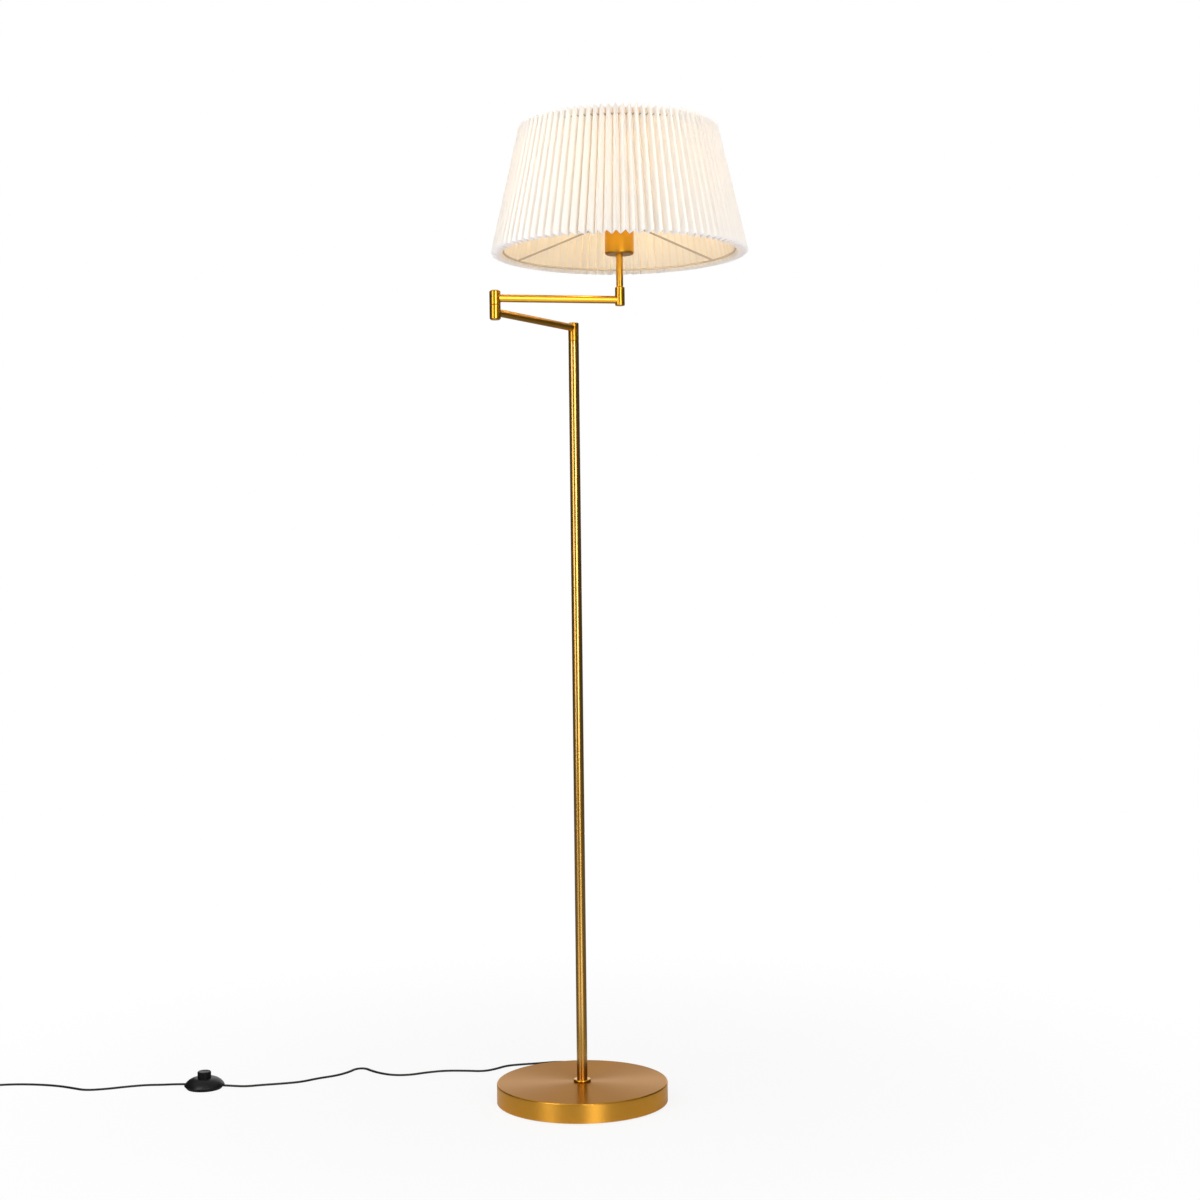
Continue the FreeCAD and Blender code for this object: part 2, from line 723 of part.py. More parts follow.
def rounded_route(name, points):
    """Straight runs through the points, joined by tangent arcs."""
    edges = []
    radii = []
    here = points[0]
    for before, corner, after in zip(points, points[1:], points[2:]):
        radius, reach = corner_radius(before, corner, after)
        radii.append(radius)
        into = (corner - before).normalize()
        out = (after - corner).normalize()
        edges.append(Part.LineSegment(here, corner - into * reach).toShape())
        edges.append(arc_from(corner - into * reach, into, corner + out * reach).toShape())
        here = corner + out * reach
    edges.append(Part.LineSegment(here, points[-1]).toShape())
    print(name, "bend radii", " ".join(f"{radius:.0f}" for radius in radii))
    return Part.Wire(edges)


def flat_section(start, direction, width, thickness):
    """The rounded outline of the flat cord, square to its direction, lying flat."""
    side = Vector(0, 0, 1).cross(direction).normalize()
    up = direction.cross(side).normalize()
    straight = side * ((width - thickness) / 2)
    top, bottom = up * (thickness / 2), up * (-thickness / 2)
    round_end = side * (width / 2)
    outline = [
        Part.LineSegment(start - straight + top, start + straight + top),
        Part.Arc(start + straight + top, start + round_end, start + straight + bottom),
        Part.LineSegment(start + straight + bottom, start - straight + bottom),
        Part.Arc(start - straight + bottom, start - round_end, start - straight + top),
    ]
    return Part.Wire([edge.toShape() for edge in outline])


def round_section(start, direction, diameter):
    return Part.Wire([Part.Circle(start, direction, diameter / 2).toShape()])


def swept(name, route, section):
    """A solid along a route; its volume has to be its section times the route's length."""
    solid = route.makePipeShell([section], True, False)
    wanted = Part.Face(section).Area * route.Length
    print(f"{name} length {route.Length:.1f} volume {solid.Volume:.0f} wanted {wanted:.0f}")
    if abs(solid.Volume / wanted - 1) > 0.01:
        raise ValueError(f"{name} has the wrong volume")
    return solid


# ---------------------------------------------------------------- round base
def hexagon_nut(node, corners, thickness, bore):
    """A hexagon nut with its axis upright and its lower face at height 0."""
    blank = doc.addObject("Part::Prism", f"{node}_blank")
    blank.Polygon = 6
    bind(blank, Circumradius=corners, Height=thickness)
    return cut(node, blank, primitive("Cylinder", f"{node}_bore", Radius=bore, Height=thickness))


def base_shell():
    shell = turned(
        "base_shell",
        [
            ("rim_inner", "nothing"),
            ("base_radius", "nothing"),
            ("base_radius", "base_rise"),
            ("stud_hole", "base_rise"),
            ("stud_hole", "shell_ceiling"),
            ("rim_inner", "shell_ceiling"),
        ],
    )
    drill(shell, "base_shell", "relief_hole", "relief_hole_height", False, "base_diameter", "XZ_Plane")
    dress_rings(shell, "Fillet", "shell_edge_radius", [("base_radius", "base_rise")])
    keep(place(shell, z="rim_clearance"), "base_shell")


def base_weight():
    weight = turned(
        "base_weight",
        [
            ("recess_radius", "nothing"),
            ("weight_radius", "nothing"),
            ("weight_radius", "weight_thickness"),
            ("stud_hole", "weight_thickness"),
            ("stud_hole", "recess_depth"),
            ("recess_radius", "recess_depth"),
        ],
    )
    keep(place(weight, z="weight_bottom"), "base_weight")


def pole_collar():
    collar = turned(
        "pole_collar",
        [
            ("stud_hole", "nothing"),
            ("collar_brow", "nothing", "collar_bead", 1),
            ("collar_brow", "collar_height"),
            ("stud_hole", "collar_height"),
        ],
    )
    keep(place(collar, z="base_top"), "pole_collar")


def base_strain_relief():
    """A tapered bush in the back of the shell, its axis level."""
    relief = turned(
        "base_strain_relief",
        [
            ("nothing", "nothing"),
            ("relief_flange_radius", "nothing"),
            ("relief_flange_radius", "relief_neck_start"),
            ("relief_neck_radius", "relief_neck_start"),
            ("relief_neck_radius", "relief_neck_end"),
            ("relief_flange_radius", "relief_neck_end"),
            ("relief_flange_radius", "relief_tail_start"),
            ("relief_neck_radius", "relief_tail_start"),
            ("relief_tip_radius", "relief_end"),
            ("nothing", "relief_end"),
        ],
    )
    relief.Placement = FreeCAD.Placement(Vector(), FreeCAD.Rotation(Vector(1, 0, 0), -90))
    bind(relief, Placement__Base__y="relief_inner_face", Placement__Base__z="relief_height")
    keep(relief, "base_strain_relief")


def base_parts():
    keep(cylinder_at("base_foot_pad", "pad_radius", "pad_thickness"), "base_foot_pad")
    keep(cylinder_at("base_cover", "cover_radius", "cover_thickness", z="pad_thickness"), "base_cover")
    base_shell()
    base_weight()
    stud = tube("base_stud", "stud_radius", "stud_bore_radius", "stud_length")
    keep(place(stud, z="stud_bottom"), "base_stud")
    washer = tube("base_washer", "washer_radius", "stud_hole", "washer_thickness")
    keep(place(washer, z="washer_bottom"), "base_washer")
    nut = hexagon_nut("base_nut", "nut_corner_radius", "nut_thickness", "stud_hole")
    keep(place(nut, z="nut_bottom"), "base_nut")
    pole_collar()
    base_strain_relief()


# ---------------------------------------------------------------- pole
def pole_parts():
    for node, level in (
        ("lower_pole_tube", "pole_foot"),
        ("middle_pole_tube", "pole_seam_low"),
        ("upper_pole_tube", "pole_seam_high"),
    ):
        section = tube(node, "pole_radius", "pole_inner", "pole_section")
        dress_rings(section, "Chamfer", "seam_chamfer", [("pole_radius", "nothing"), ("pole_radius", "pole_section")])
        keep(place(section, z=level), node)
    for node, bore, length, level in (
        ("pole_foot_insert", "stud_hole", "insert_length", "pole_foot"),
        ("lower_pole_coupler", "coupler_bore_radius", "coupler_length", "low_coupler_bottom"),
        ("upper_pole_coupler", "coupler_bore_radius", "coupler_length", "high_coupler_bottom"),
        ("pole_top_insert", "pivot_seat", "insert_length", "top_insert_bottom"),
    ):
        keep(place(tube(node, "insert_radius", bore, length), z=level), node)
    pivot = tube("shoulder_pivot", "pivot_radius", "pivot_bore_radius", "shoulder_pivot_length")
    keep(place(pivot, z="shoulder_pivot_bottom"), "shoulder_pivot")
    nut = tube("shoulder_pivot_nut", "pivot_nut_radius", "pivot_seat", "pivot_nut_thickness")
    keep(place(nut, z="shoulder_nut_bottom"), "shoulder_pivot_nut")


# ---------------------------------------------------------------- swivel hubs and arms
def swivel_hub(node, outer, seam, height, web, arm_height):
    """The turning half of a swivel: a thin bearing web, a wire cavity above it and a hole towards the arm."""
    hub = turned(
        node,
        [
            ("pivot_bearing", "nothing"),
            (seam, "nothing"),
            (outer, "seam_chamfer"),
            (outer, height),
            ("cavity_radius", height),
            ("cavity_radius", web),
            ("pivot_bearing", web),
        ],
    )
    return drill(hub, node, "arm_bore", arm_height, True, outer)


def swivel_cap(node, outer, brow, cheek, top):
    """A cap with a spigot that closes a hub's wire cavity."""
    return turned(
        node,
        [
            ("nothing", "nothing"),
            ("spigot_radius", "nothing"),
            ("spigot_radius", "cap_spigot"),
            (outer, "cap_spigot"),
            (outer, cheek),
            (brow, top),
            ("nothing", top),
        ],
    )


def arm_tube(node, reach, near_cope, far_cope):
    """A level tube along X between two upright hubs, coped to both of them."""
    arm = tube(node, "arm_radius", "arm_bore", reach, "YZ_Plane")
    for end, cope, across in (("near", near_cope, "nothing"), ("far", far_cope, reach)):
        sketch = new_sketch(arm, "XY_Plane", f"{node}_{end}_cope")
        draw_circle(sketch, cope, across)
        pocket = arm.newObject("PartDesign::Pocket", f"{node}_{end}_coping")
        pocket.Profile = sketch
        pocket.Midplane = True
        bind(pocket, Length="arm_spacing")
        doc.recompute()
    return arm


def lower_arm_parts():
    turn = "lower_arm_angle"
    hub = swivel_hub(
        "shoulder_hub", "pole_radius", "seam_line", "shoulder_body_height", "pivot_web", "shoulder_arm_rise"
    )
    keep(place(hub, z="shoulder_bottom", turn=turn), "shoulder_hub")
    cap = swivel_cap(
        "shoulder_cap", "pole_radius", "shoulder_cap_brow", "shoulder_cap_cheek", "shoulder_cap_top"
    )
    keep(place(cap, z="shoulder_cap_place"), "shoulder_cap")
    arm = arm_tube("lower_arm_tube", "lower_arm_reach", "shoulder_cope", "elbow_cope")
    keep(place(arm, z="lower_arm_level", turn=turn), "lower_arm_tube")

    elbow = turned(
        "elbow_lower_hub",
        [
            ("nothing", "nothing"),
            ("elbow_brow", "nothing"),
            ("elbow_radius", "elbow_chamfer"),
            ("elbow_radius", "lower_hub_cheek"),
            ("elbow_seam_line", "elbow_hub_height"),
            ("pivot_seat", "elbow_hub_height"),
            ("pivot_seat", "elbow_floor"),
            ("nothing", "elbow_floor"),
        ],
    )
    drill(elbow, "elbow_lower_hub", "arm_bore", "lower_hub_arm", False, "elbow_radius")
    keep(place(elbow, "elbow_x", "elbow_y", "lower_hub_bottom", turn), "elbow_lower_hub")
    pivot = tube("elbow_pivot", "pivot_radius", "pivot_bore_radius", "elbow_pivot_length")
    keep(place(pivot, "elbow_x", "elbow_y", "elbow_pivot_bottom"), "elbow_pivot")
    nut = tube("elbow_pivot_nut", "pivot_nut_radius", "pivot_seat", "elbow_nut_thickness")
    keep(place(nut, "elbow_x", "elbow_y", "elbow_nut_bottom"), "elbow_pivot_nut")


def upper_arm_parts():
    turn = "upper_arm_angle"
    hub = swivel_hub(
        "elbow_upper_hub", "elbow_radius", "elbow_seam_line", "upper_hub_height", "elbow_web", "upper_hub_arm"
    )
    keep(place(hub, "elbow_x", "elbow_y", "upper_hub_bottom", turn), "elbow_upper_hub")
    cap = swivel_cap("elbow_cap", "elbow_radius", "elbow_brow", "elbow_cap_cheek", "elbow_cap_top")
    keep(place(cap, "elbow_x", "elbow_y", "elbow_cap_place"), "elbow_cap")
    arm = arm_tube("upper_arm_tube", "upper_arm_reach", "elbow_cope", "head_cope")
    keep(place(arm, "elbow_x", "elbow_y", "upper_arm_level", turn), "upper_arm_tube")


# ---------------------------------------------------------------- head: hub, stem, cup, lampholder and bulb
def head_parts():
    hub = turned(
        "head_hub",
        [
            ("nothing", "nothing"),
            ("head_foot_brow", "nothing"),
            ("head_radius", "head_foot_chamfer"),
            ("head_radius", "head_cheek"),
            ("head_brow", "head_hub_height"),
            ("stem_hole", "head_hub_height"),
            ("stem_hole", "head_seat_bottom"),
            ("head_bore", "head_seat_bottom"),
            ("head_bore", "head_hub_floor"),
            ("nothing", "head_hub_floor"),
        ],
    )
    drill(hub, "head_hub", "arm_bore", "head_hub_drop", False, "head_radius")
    on_head(hub, "head_hub", "head_hub_bottom", "upper_arm_angle")
    on_head(tube("head_stem", "stem_radius", "stem_bore_radius", "stem_length"), "head_stem", "stem_bottom")

    cup = turned(
        "lamp_cup",
        [
            ("stem_hole", "nothing"),
            ("cup_radius", "nothing"),
            ("cup_radius", "cup_height"),
            ("cup_inner", "cup_height"),
            ("cup_inner", "cup_floor"),
            ("stem_hole", "cup_floor"),
        ],
    )
    dress_rings(cup, "Fillet", "cup_edge_radius", [("cup_radius", "nothing")])
    dress_rings(cup, "Fillet", "cup_inner_edge", [("cup_inner", "cup_floor")])
    on_head(cup, "lamp_cup", "cup_bottom")
    nut = hexagon_nut("stem_nut", "stem_nut_corner_radius", "stem_nut_thickness", "stem_hole")
    on_head(nut, "stem_nut", "stem_nut_bottom")
    lampholder_parts()
    bulb_parts()


def on_head(thing, node, level, turn="nothing"):
    """Puts a piece on the head's upright axis at a named level."""
    keep(place(thing, "head_x", "head_y", level, turn), node)


def lampholder_parts():
    holder = turned(
        "lampholder_body",
        [
            ("stem_hole", "nothing"),
            ("holder_radius", "nothing"),
            ("holder_radius", "holder_flange"),
            ("cup_radius", "holder_flange"),
            ("cup_radius", "holder_flange_top"),
            ("skirt_radius", "holder_flange_top"),
            ("skirt_radius", "holder_top"),
            ("socket_radius", "holder_top"),
            ("socket_radius", "holder_floor_height"),
            ("nothing", "holder_floor_height"),
            ("nothing", "holder_collar_depth"),
            ("stem_hole", "holder_collar_depth"),
        ],
    )
    on_head(holder, "lampholder_body", "holder_bottom")
    contact = primitive("Cylinder", "centre_contact", Radius="contact_radius", Height="contact_thickness")
    on_head(contact, "centre_contact", "contact_bottom")
    shell = tube("socket_screw_shell", "socket_shell_outer", "socket_shell_inner", "socket_shell_height")
    on_head(shell, "socket_screw_shell", "contact_bottom")
    nut = tube("shade_ring_nut", "ring_nut_radius", "washer_hole", "ring_nut_height")
    on_head(nut, "shade_ring_nut", "ring_nut_bottom")


def globe(name, radius, neck, foot):
    """The outside or the inside of the glass: a ball on a tapering neck."""
    ball = primitive("Sphere", f"{name}_ball", Radius=radius)
    taper = primitive("Cone", f"{name}_neck", Radius1=neck, Radius2=foot, Height="neck_height")
    place(ball, "head_x", "head_y", "globe_middle")
    place(taper, "head_x", "head_y", "glass_bottom")
    return fuse(name, [ball, taper])


def bulb_parts():
    cap = primitive("Cylinder", "bulb_cap", Radius="bulb_cap_radius", Height="bulb_cap_height")
    on_head(cap, "bulb_cap", "bulb_cap_bottom")
    outside = globe("bulb_outside", "bulb_radius", "bulb_neck_radius", "globe_foot_radius")
    inside = globe("bulb_inside", "globe_inner", "neck_inner", "globe_foot_inner")
    keep(cut("bulb_globe", outside, inside), "bulb_globe")


# ---------------------------------------------------------------- shade
def pleated_solid(inset, overrun):
    """The space inside a zigzag wall that lies an inset inside the outer folds, longer by an overrun at both ends."""
    count = int(round(value("pleat_count")))
    widening = value("slant_tangent") * overrun
    ends = []
    for ridge, level in (
        (value("shade_bottom_radius") + widening, value("ridge_bottom") - overrun),
        (value("shade_top_radius") - widening, value("ridge_top") + overrun),
    ):
        corners = []
        for step in range(2 * count):
            angle = math.pi * step / count
            radius = ridge - inset - value("pleat_run") * (step % 2)
            corners.append(Vector(radius * math.cos(angle), radius * math.sin(angle), level))
        ends.append(Part.makePolygon(corners + corners[:1]))
    return Part.makeLoft(ends, True, True)


def between_ends():
    """The ring-shaped space between the fabric's lower and upper edge, both square to its slope."""
    depth = value("pleat_depth")
    across = Vector(value("slant_cosine"), 0, value("slant_sine"))
    foot = Vector(value("shade_bottom_radius"), 0, value("ridge_bottom"))
    head = Vector(value("shade_top_radius"), 0, value("ridge_top"))
    corners = [foot - across * 2 * depth, foot + across * depth, head + across * depth, head - across * 2 * depth]
    return Part.Face(Part.makePolygon(corners + corners[:1])).revolve(Vector(), Vector(0, 0, 1), 360)


def shade_parts():
    depth = value("pleat_depth")
    wall = pleated_solid(0, depth).cut(pleated_solid(value("fold_inset"), 2 * depth))
    fabric = shaped("shade_fabric", wall.common(between_ends()))
    keep(place(fabric, "head_x", "head_y"), "shade_fabric")
    top_ring = primitive("Torus", "shade_top_ring", Radius1="top_ring_radius", Radius2="ring_wire_radius")
    on_head(top_ring, "shade_top_ring", "top_ring_level")
    spider_parts()


def spider_parts():
    """The lower frame: a washer on the lampholder with three spokes, and the bottom ring on their ends."""
    ring = primitive("Torus", "shade_bottom_ring", Radius1="bottom_ring_radius", Radius2="ring_wire_radius")
    on_head(ring, "shade_bottom_ring", "bottom_ring_level")
    groove = primitive("Torus", "ring_groove", Radius1="bottom_ring_radius", Radius2="ring_groove_radius")
    place(groove, "head_x", "head_y", "bottom_ring_level")
    disc = cylinder_at(
        "spider_disc", "spider_washer_radius", "spider_washer_thickness", "head_x", "head_y", "spider_level"
    )
    hole = cylinder_at(
        "spider_hole", "washer_hole", "spider_washer_thickness", "head_x", "head_y", "spider_level"
    )
    spokes = []
    for number in range(3):
        angle = math.radians(value("spoke_angle") + 120 * number)
        outward = Vector(math.cos(angle), math.sin(angle), 0)
        start = outward * value("spoke_start_radius") + Vector(0, 0, value("spoke_start_level"))
        run = outward * value("bottom_ring_radius") + Vector(0, 0, value("bottom_ring_level")) - start
        spoke = Part.makeCylinder(value("ring_wire_radius"), run.Length, start, run)
        spokes.append(place(shaped(f"spoke_{number}", spoke), "head_x", "head_y"))
    frame = fuse("spider_frame", [disc, *spokes])
    keep(cut("shade_spider", frame, fuse("spider_room", [groove, hole])), "shade_spider")


# ---------------------------------------------------------------- foot switch
def in_switch(thing, node, level="nothing"):
    keep(place(thing, "switch_place_x", "switch_place_y", level, "switch_angle"), node)


def switch_parts():
    foot = turned(
        "switch_base",
        [
            ("nothing", "nothing"),
            ("switch_foot_radius", "nothing"),
            ("switch_radius", "switch_rim_height"),
            ("switch_inner", "switch_rim_height"),
            ("switch_foot_inner", "switch_wall"),
            ("nothing", "switch_wall"),
        ],
    )
    for name, reverse in (("right", True), ("left", False)):
        drill(foot, f"foot_{name}", "cord_hole", "switch_rim_height", reverse, "switch_radius")
    for name, across in (("far", "switch_screw_spread"), ("near", "screw_near")):
        drill(foot, f"switch_{name}_recess", "screw_head_hole", across, True, "screw_recess", "XY_Plane")
        drill(foot, f"switch_{name}_way", "screw_hole", across, True, "switch_wall", "XY_Plane")
    in_switch(foot, "switch_base")
    switch_cover()
    button = turned(
        "switch_button",
        [
            ("nothing", "nothing"),
            ("button_radius", "nothing"),
            ("button_radius", "button_skirt"),
            ("button_flange", "button_skirt"),
            ("button_flange", "button_flange_high"),
            ("button_radius", "button_flange_high"),
            ("button_radius", "button_cheek"),
            ("button_brow", "button_crown", "button_dish_arc", -1),
            ("nothing", "button_dish"),
        ],
    )
    in_switch(button, "switch_button", "button_skirt_bottom")
    block = primitive("Cylinder", "switch_mechanism", Radius="switch_block_radius", Height="switch_block_height")
    in_switch(block, "switch_mechanism", "switch_wall")


def switch_cover():
    """The domed cover with two screw bosses inside, and the screws that pull it down."""
    dome = turned(
        "cover_dome",
        [
            ("switch_inner", "switch_rim_height"),
            ("switch_radius", "switch_rim_height", "dome_arc", 1),
            ("button_hole", "switch_dome_height"),
            ("button_hole", "dome_underside", "dome_inner_arc", -1),
        ],
    )
    for name, reverse in (("right", True), ("left", False)):
        drill(dome, f"dome_{name}", "cord_hole", "switch_rim_height", reverse, "switch_radius")
    place(dome, "switch_place_x", "switch_place_y", turn="switch_angle")
    bosses, pilots, screws = [], [], []
    for name in ("far", "near"):
        x, y = f"screw_{name}_x", f"screw_{name}_y"
        bosses.append(
            cylinder_at(f"boss_{name}", "switch_boss_radius", "switch_boss_length", x, y, "switch_boss_bottom")
        )
        pilots.append(cylinder_at(f"pilot_{name}", "screw_hole", "pilot_depth", x, y))
        screws.append(cylinder_at(f"screw_head_{name}", "switch_screw_head", "switch_screw_head_height", x, y))
        screws.append(cylinder_at(f"screw_shank_{name}", "switch_screw_radius", "switch_screw_length", x, y))
    keep(cut("switch_cover", fuse("cover_body", [dome, *bosses]), fuse("cover_pilots", pilots)), "switch_cover")
    keep(fuse("switch_screws", screws), "switch_screws")


# ---------------------------------------------------------------- cords, coil and tie
def switch_side(sign):
    """Where the cord meets the switch: on its rim, right of it for 1 and left of it for -1."""
    angle = math.radians(value("switch_angle"))
    out = Vector(math.cos(angle), math.sin(angle), 0) * (sign * value("switch_entry"))
    return Vector(value("switch_place_x"), value("switch_place_y"), value("switch_rim_height")) + out


def flat_cord(node, points):
    route = rounded_route(node, points)
    width, thickness = value("cord_width"), value("cord_thickness")
    section = flat_section(points[0], (points[1] - points[0]).normalize(), width, thickness)
    keep(shaped(node, swept(node, route, section)), node)


def coil_route():
    """Lower layer wound inwards clockwise, a climbing half turn, upper layer wound outwards, a quarter turn to leave."""
    x, y, outer = value("coil_place_x"), value("coil_place_y"), value("coil_radius")
    low, high, pitch = value("coil_low"), value("coil_high"), value("coil_pitch")
    straight = value("cord_width")
    turns = int(round(value("coil_lower_turns")))
    edges = [Part.LineSegment(Vector(x + straight, y - outer, low), Vector(x, y - outer, low)).toShape()]
    south, north = y - outer, y + outer
    for _ in range(turns):
        west = Vector(x - (north - south) / 2, (north + south) / 2, low)
        edges.append(Part.Arc(Vector(x, south, low), west, Vector(x, north, low)).toShape())
        east = Vector(x + (north - south - pitch) / 2, (north + south + pitch) / 2, low)
        edges.append(Part.Arc(Vector(x, north, low), east, Vector(x, south + pitch, low)).toShape())
        south, north = south + pitch, north - pitch
    foot, head = Vector(x, south, low), Vector(x, north, high)
    middle = (foot + head) / 2 - Vector((head - foot).Length / 2, 0, 0)
    edges.append(arc_from(foot, Vector(-1, 0, 0), middle).toShape())
    edges.append(arc_from(middle, head - foot, head).toShape())
    for _ in range(turns):
        east = Vector(x + (north - south + pitch) / 2, (north + south - pitch) / 2, high)
        edges.append(Part.Arc(Vector(x, north, high), east, Vector(x, south - pitch, high)).toShape())
        south -= pitch
        if south > y - outer + pitch / 2:
            west = Vector(x - (north + pitch - south) / 2, (north + pitch + south) / 2, high)
            edges.append(Part.Arc(Vector(x, south, high), west, Vector(x, north + pitch, high)).toShape())
        north += pitch
    shoulder = math.sqrt(0.5) * outer
    edges.append(
        Part.Arc(
            Vector(x, y - outer, high),
            Vector(x - shoulder, y - shoulder, high),
            Vector(x - outer, y, high),
        ).toShape()
    )
    edges.append(Part.LineSegment(Vector(x - outer, y, high), Vector(x - outer, y + straight, high)).toShape())
    return Part.Wire(edges)


def least_gap(route, width, thickness):
    """The least distance between turns, from points along the route that lie at least four widths apart along it."""
    step = width / 2
    spots = route.discretize(Distance=step)
    least = math.inf
    for index, spot in enumerate(spots):
        for other in spots[index + 8 :]:
            aside = max(math.hypot(other.x - spot.x, other.y - spot.y) - width, 0)
            above = max(abs(other.z - spot.z) - thickness, 0)
            least = min(least, math.hypot(aside, above))
    return least


def cord_parts():
    outlet = Vector(0, value("relief_tip"), value("relief_height"))
    flat_cord("base_to_switch_cord", [outlet, *[Vector(*point) for point in SWITCH_CORD_POINTS], switch_side(1)])
    winding = coil_route()
    start = winding.Edges[0].Vertexes[0].Point
    flat_cord("switch_to_coil_cord", [switch_side(-1), *[Vector(*point) for point in PLUG_CORD_POINTS], start])
    width, thickness = value("cord_width"), value("cord_thickness")
    section = flat_section(start, Vector(-1, 0, 0), width, thickness)
    keep(shaped("cord_coil", swept("cord_coil", winding, section)), "cord_coil")
    print(f"cord_coil least gap between turns {least_gap(winding, width, thickness):.2f}")
    leaving = Vector(value("coil_west"), value("coil_place_y") + width, value("coil_high"))
    into_plug = Vector(value("coil_west"), value("plug_relief_start"), value("plug_axis"))
    flat_cord("coil_to_plug_cord", [leaving, into_plug])
    tie_part()


def tie_part():
    """A strap round the bundle of turns on the coil's east side."""
    outside = primitive("Box", "tie_outside", Length="tie_length", Width="tie_width", Height="tie_height")
    inside = primitive("Box", "tie_inside", Length="tie_room", Width="tie_width", Height="tie_room_height")
    place(outside, "tie_start", "tie_side")
    place(inside, "tie_room_start", "tie_side", "tie_thickness")
    keep(cut("cord_tie", outside, inside), "cord_tie")


# ---------------------------------------------------------------- plug
def level_along_y(thing, x, y, z):
    """Lays a piece that was turned about its upright axis along +Y, starting at named coordinates."""
    thing.Placement = FreeCAD.Placement(Vector(), FreeCAD.Rotation(Vector(1, 0, 0), -90))
    bind(thing, Placement__Base__x=x, Placement__Base__y=y, Placement__Base__z=z)
    return thing


def plug_parts():
    relief = turned(
        "plug_strain_relief",
        [
            ("nothing", "nothing"),
            ("relief_tip_radius", "nothing"),
            ("plug_relief_root", "plug_relief_length"),
            ("nothing", "plug_relief_length"),
        ],
    )
    keep(level_along_y(relief, "coil_west", "plug_relief_start", "plug_axis"), "plug_strain_relief")

    block = doc.addObject("PartDesign::Body", "plug_block")
    outline = new_sketch(block, "XY_Plane", "plug_outline")
    draw_outline(
        outline,
        [
            ("plug_tail_west", "nothing"),
            ("plug_tail_half", "nothing"),
            ("plug_half", "plug_shoulder"),
            ("plug_half", "plug_cheek_start"),
            ("plug_face_half", "plug_length"),
            ("plug_face_west", "plug_length"),
            ("plug_half_west", "plug_cheek_start"),
            ("plug_half_west", "plug_shoulder"),
        ],
    )
    pad = block.newObject("PartDesign::Pad", "plug_pad")
    pad.Profile = outline
    bind(pad, Length="plug_thickness")
    doc.recompute()
    faces = level_edges(pad.Shape, 0) + level_edges(pad.Shape, value("plug_thickness"))
    dress(block, "Fillet", "plug_edge", faces)
    place(block, "coil_west", "plug_start")

    pins, holes = [], []
    for side in ("east", "west"):
        pin = turned(
            f"pin_{side}_turned",
            [
                ("nothing", "nothing"),
                ("pin_root_radius", "nothing"),
                ("pin_root_radius", "pin_seat"),
                ("pin_radius", "pin_seat"),
                ("pin_radius", "pin_cheek"),
                ("pin_brow", "pin_whole"),
                ("nothing", "pin_whole"),
            ],
        )
        pins.append(level_along_y(pin, f"pin_{side}", "pin_start", "plug_axis"))
        hole = primitive("Cylinder", f"pin_hole_{side}", Radius="pin_hole", Height="pin_whole")
        holes.append(level_along_y(hole, f"pin_{side}", "pin_start", "plug_axis"))
    keep(cut("plug_body", block, fuse("pin_holes", holes)), "plug_body")
    keep(fuse("plug_pins", pins), "plug_pins")


# ---------------------------------------------------------------- internal leads
def bent_lead(node, corners):
    """A round lead through the corners, each rounded to the same bend."""
    bend = value("lead_bend")
    edges = []
    here = corners[0]
    for before, corner, after in zip(corners, corners[1:], corners[2:]):
        into = (corner - before).normalize()
        out = (after - corner).normalize()
        if (corner - into * bend).distanceToPoint(here) > 1e-6:
            edges.append(Part.LineSegment(here, corner - into * bend).toShape())
        edges.append(arc_from(corner - into * bend, into, corner + out * bend).toShape())
        here = corner + out * bend
    edges.append(Part.LineSegment(here, corners[-1]).toShape())
    route = Part.Wire(edges)
    section = round_section(corners[0], (corners[1] - corners[0]).normalize(), value("lead_diameter"))
    keep(shaped(node, swept(node, route, section)), node)


def lead_parts():
    lower, upper = value("lower_arm_level"), value("upper_arm_level")
    elbow = Vector(value("elbow_x"), value("elbow_y"), 0)
    head = Vector(value("head_x"), value("head_y"), 0)
    up = Vector(0, 0, 1)
    bend, gap = value("lead_bend"), value("loose_gap")
    inlet = Vector(0, value("relief_inner_face") - gap, value("relief_height"))
    bent_lead("pole_lead", [inlet, Vector(0, 0, value("relief_height")), up * (lower - bend - gap)])
    bent_lead(
        "lower_arm_lead",
        [up * (lower - bend), up * lower, elbow + up * lower, elbow + up * (upper - bend - gap)],
    )
    lead_end = value("holder_bottom") + value("holder_collar_depth") - gap
    bent_lead(
        "upper_arm_lead",
        [elbow + up * (upper - bend), elbow + up * upper, head + up * upper, head + up * lead_end],
    )


# ---------------------------------------------------------------- build, test and write
def test_parts():
    """Every object has to be sound, and every sub-part a valid solid with a name of its own."""
    doc.recompute()
    for thing in doc.Objects:
        if "Invalid" in thing.State or "Error" in thing.State:
            raise ValueError(f"{thing.Name} is in state {thing.State}")
    labels = [thing.Label for thing in parts]
    if len(set(labels)) != len(labels):
        raise ValueError("two sub-parts share a name")
    for thing in parts:
        if thing.Shape.isNull() or not thing.Shape.isValid() or not thing.Shape.Solids:
            raise ValueError(f"{thing.Label} has no valid solid")


def write_parts():
    os.makedirs("parts", exist_ok=True)
    for thing in parts:
        thing.Shape.exportStep(f"parts/{thing.Label}.step")
    print(len(parts), "sub-parts written")


base_parts()
pole_parts()
lower_arm_parts()
upper_arm_parts()
head_parts()
shade_parts()
switch_parts()
cord_parts()
plug_parts()
lead_parts()
test_parts()
write_parts()
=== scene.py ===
import json
import math

import bmesh
import bpy
from mathutils import Matrix, Vector


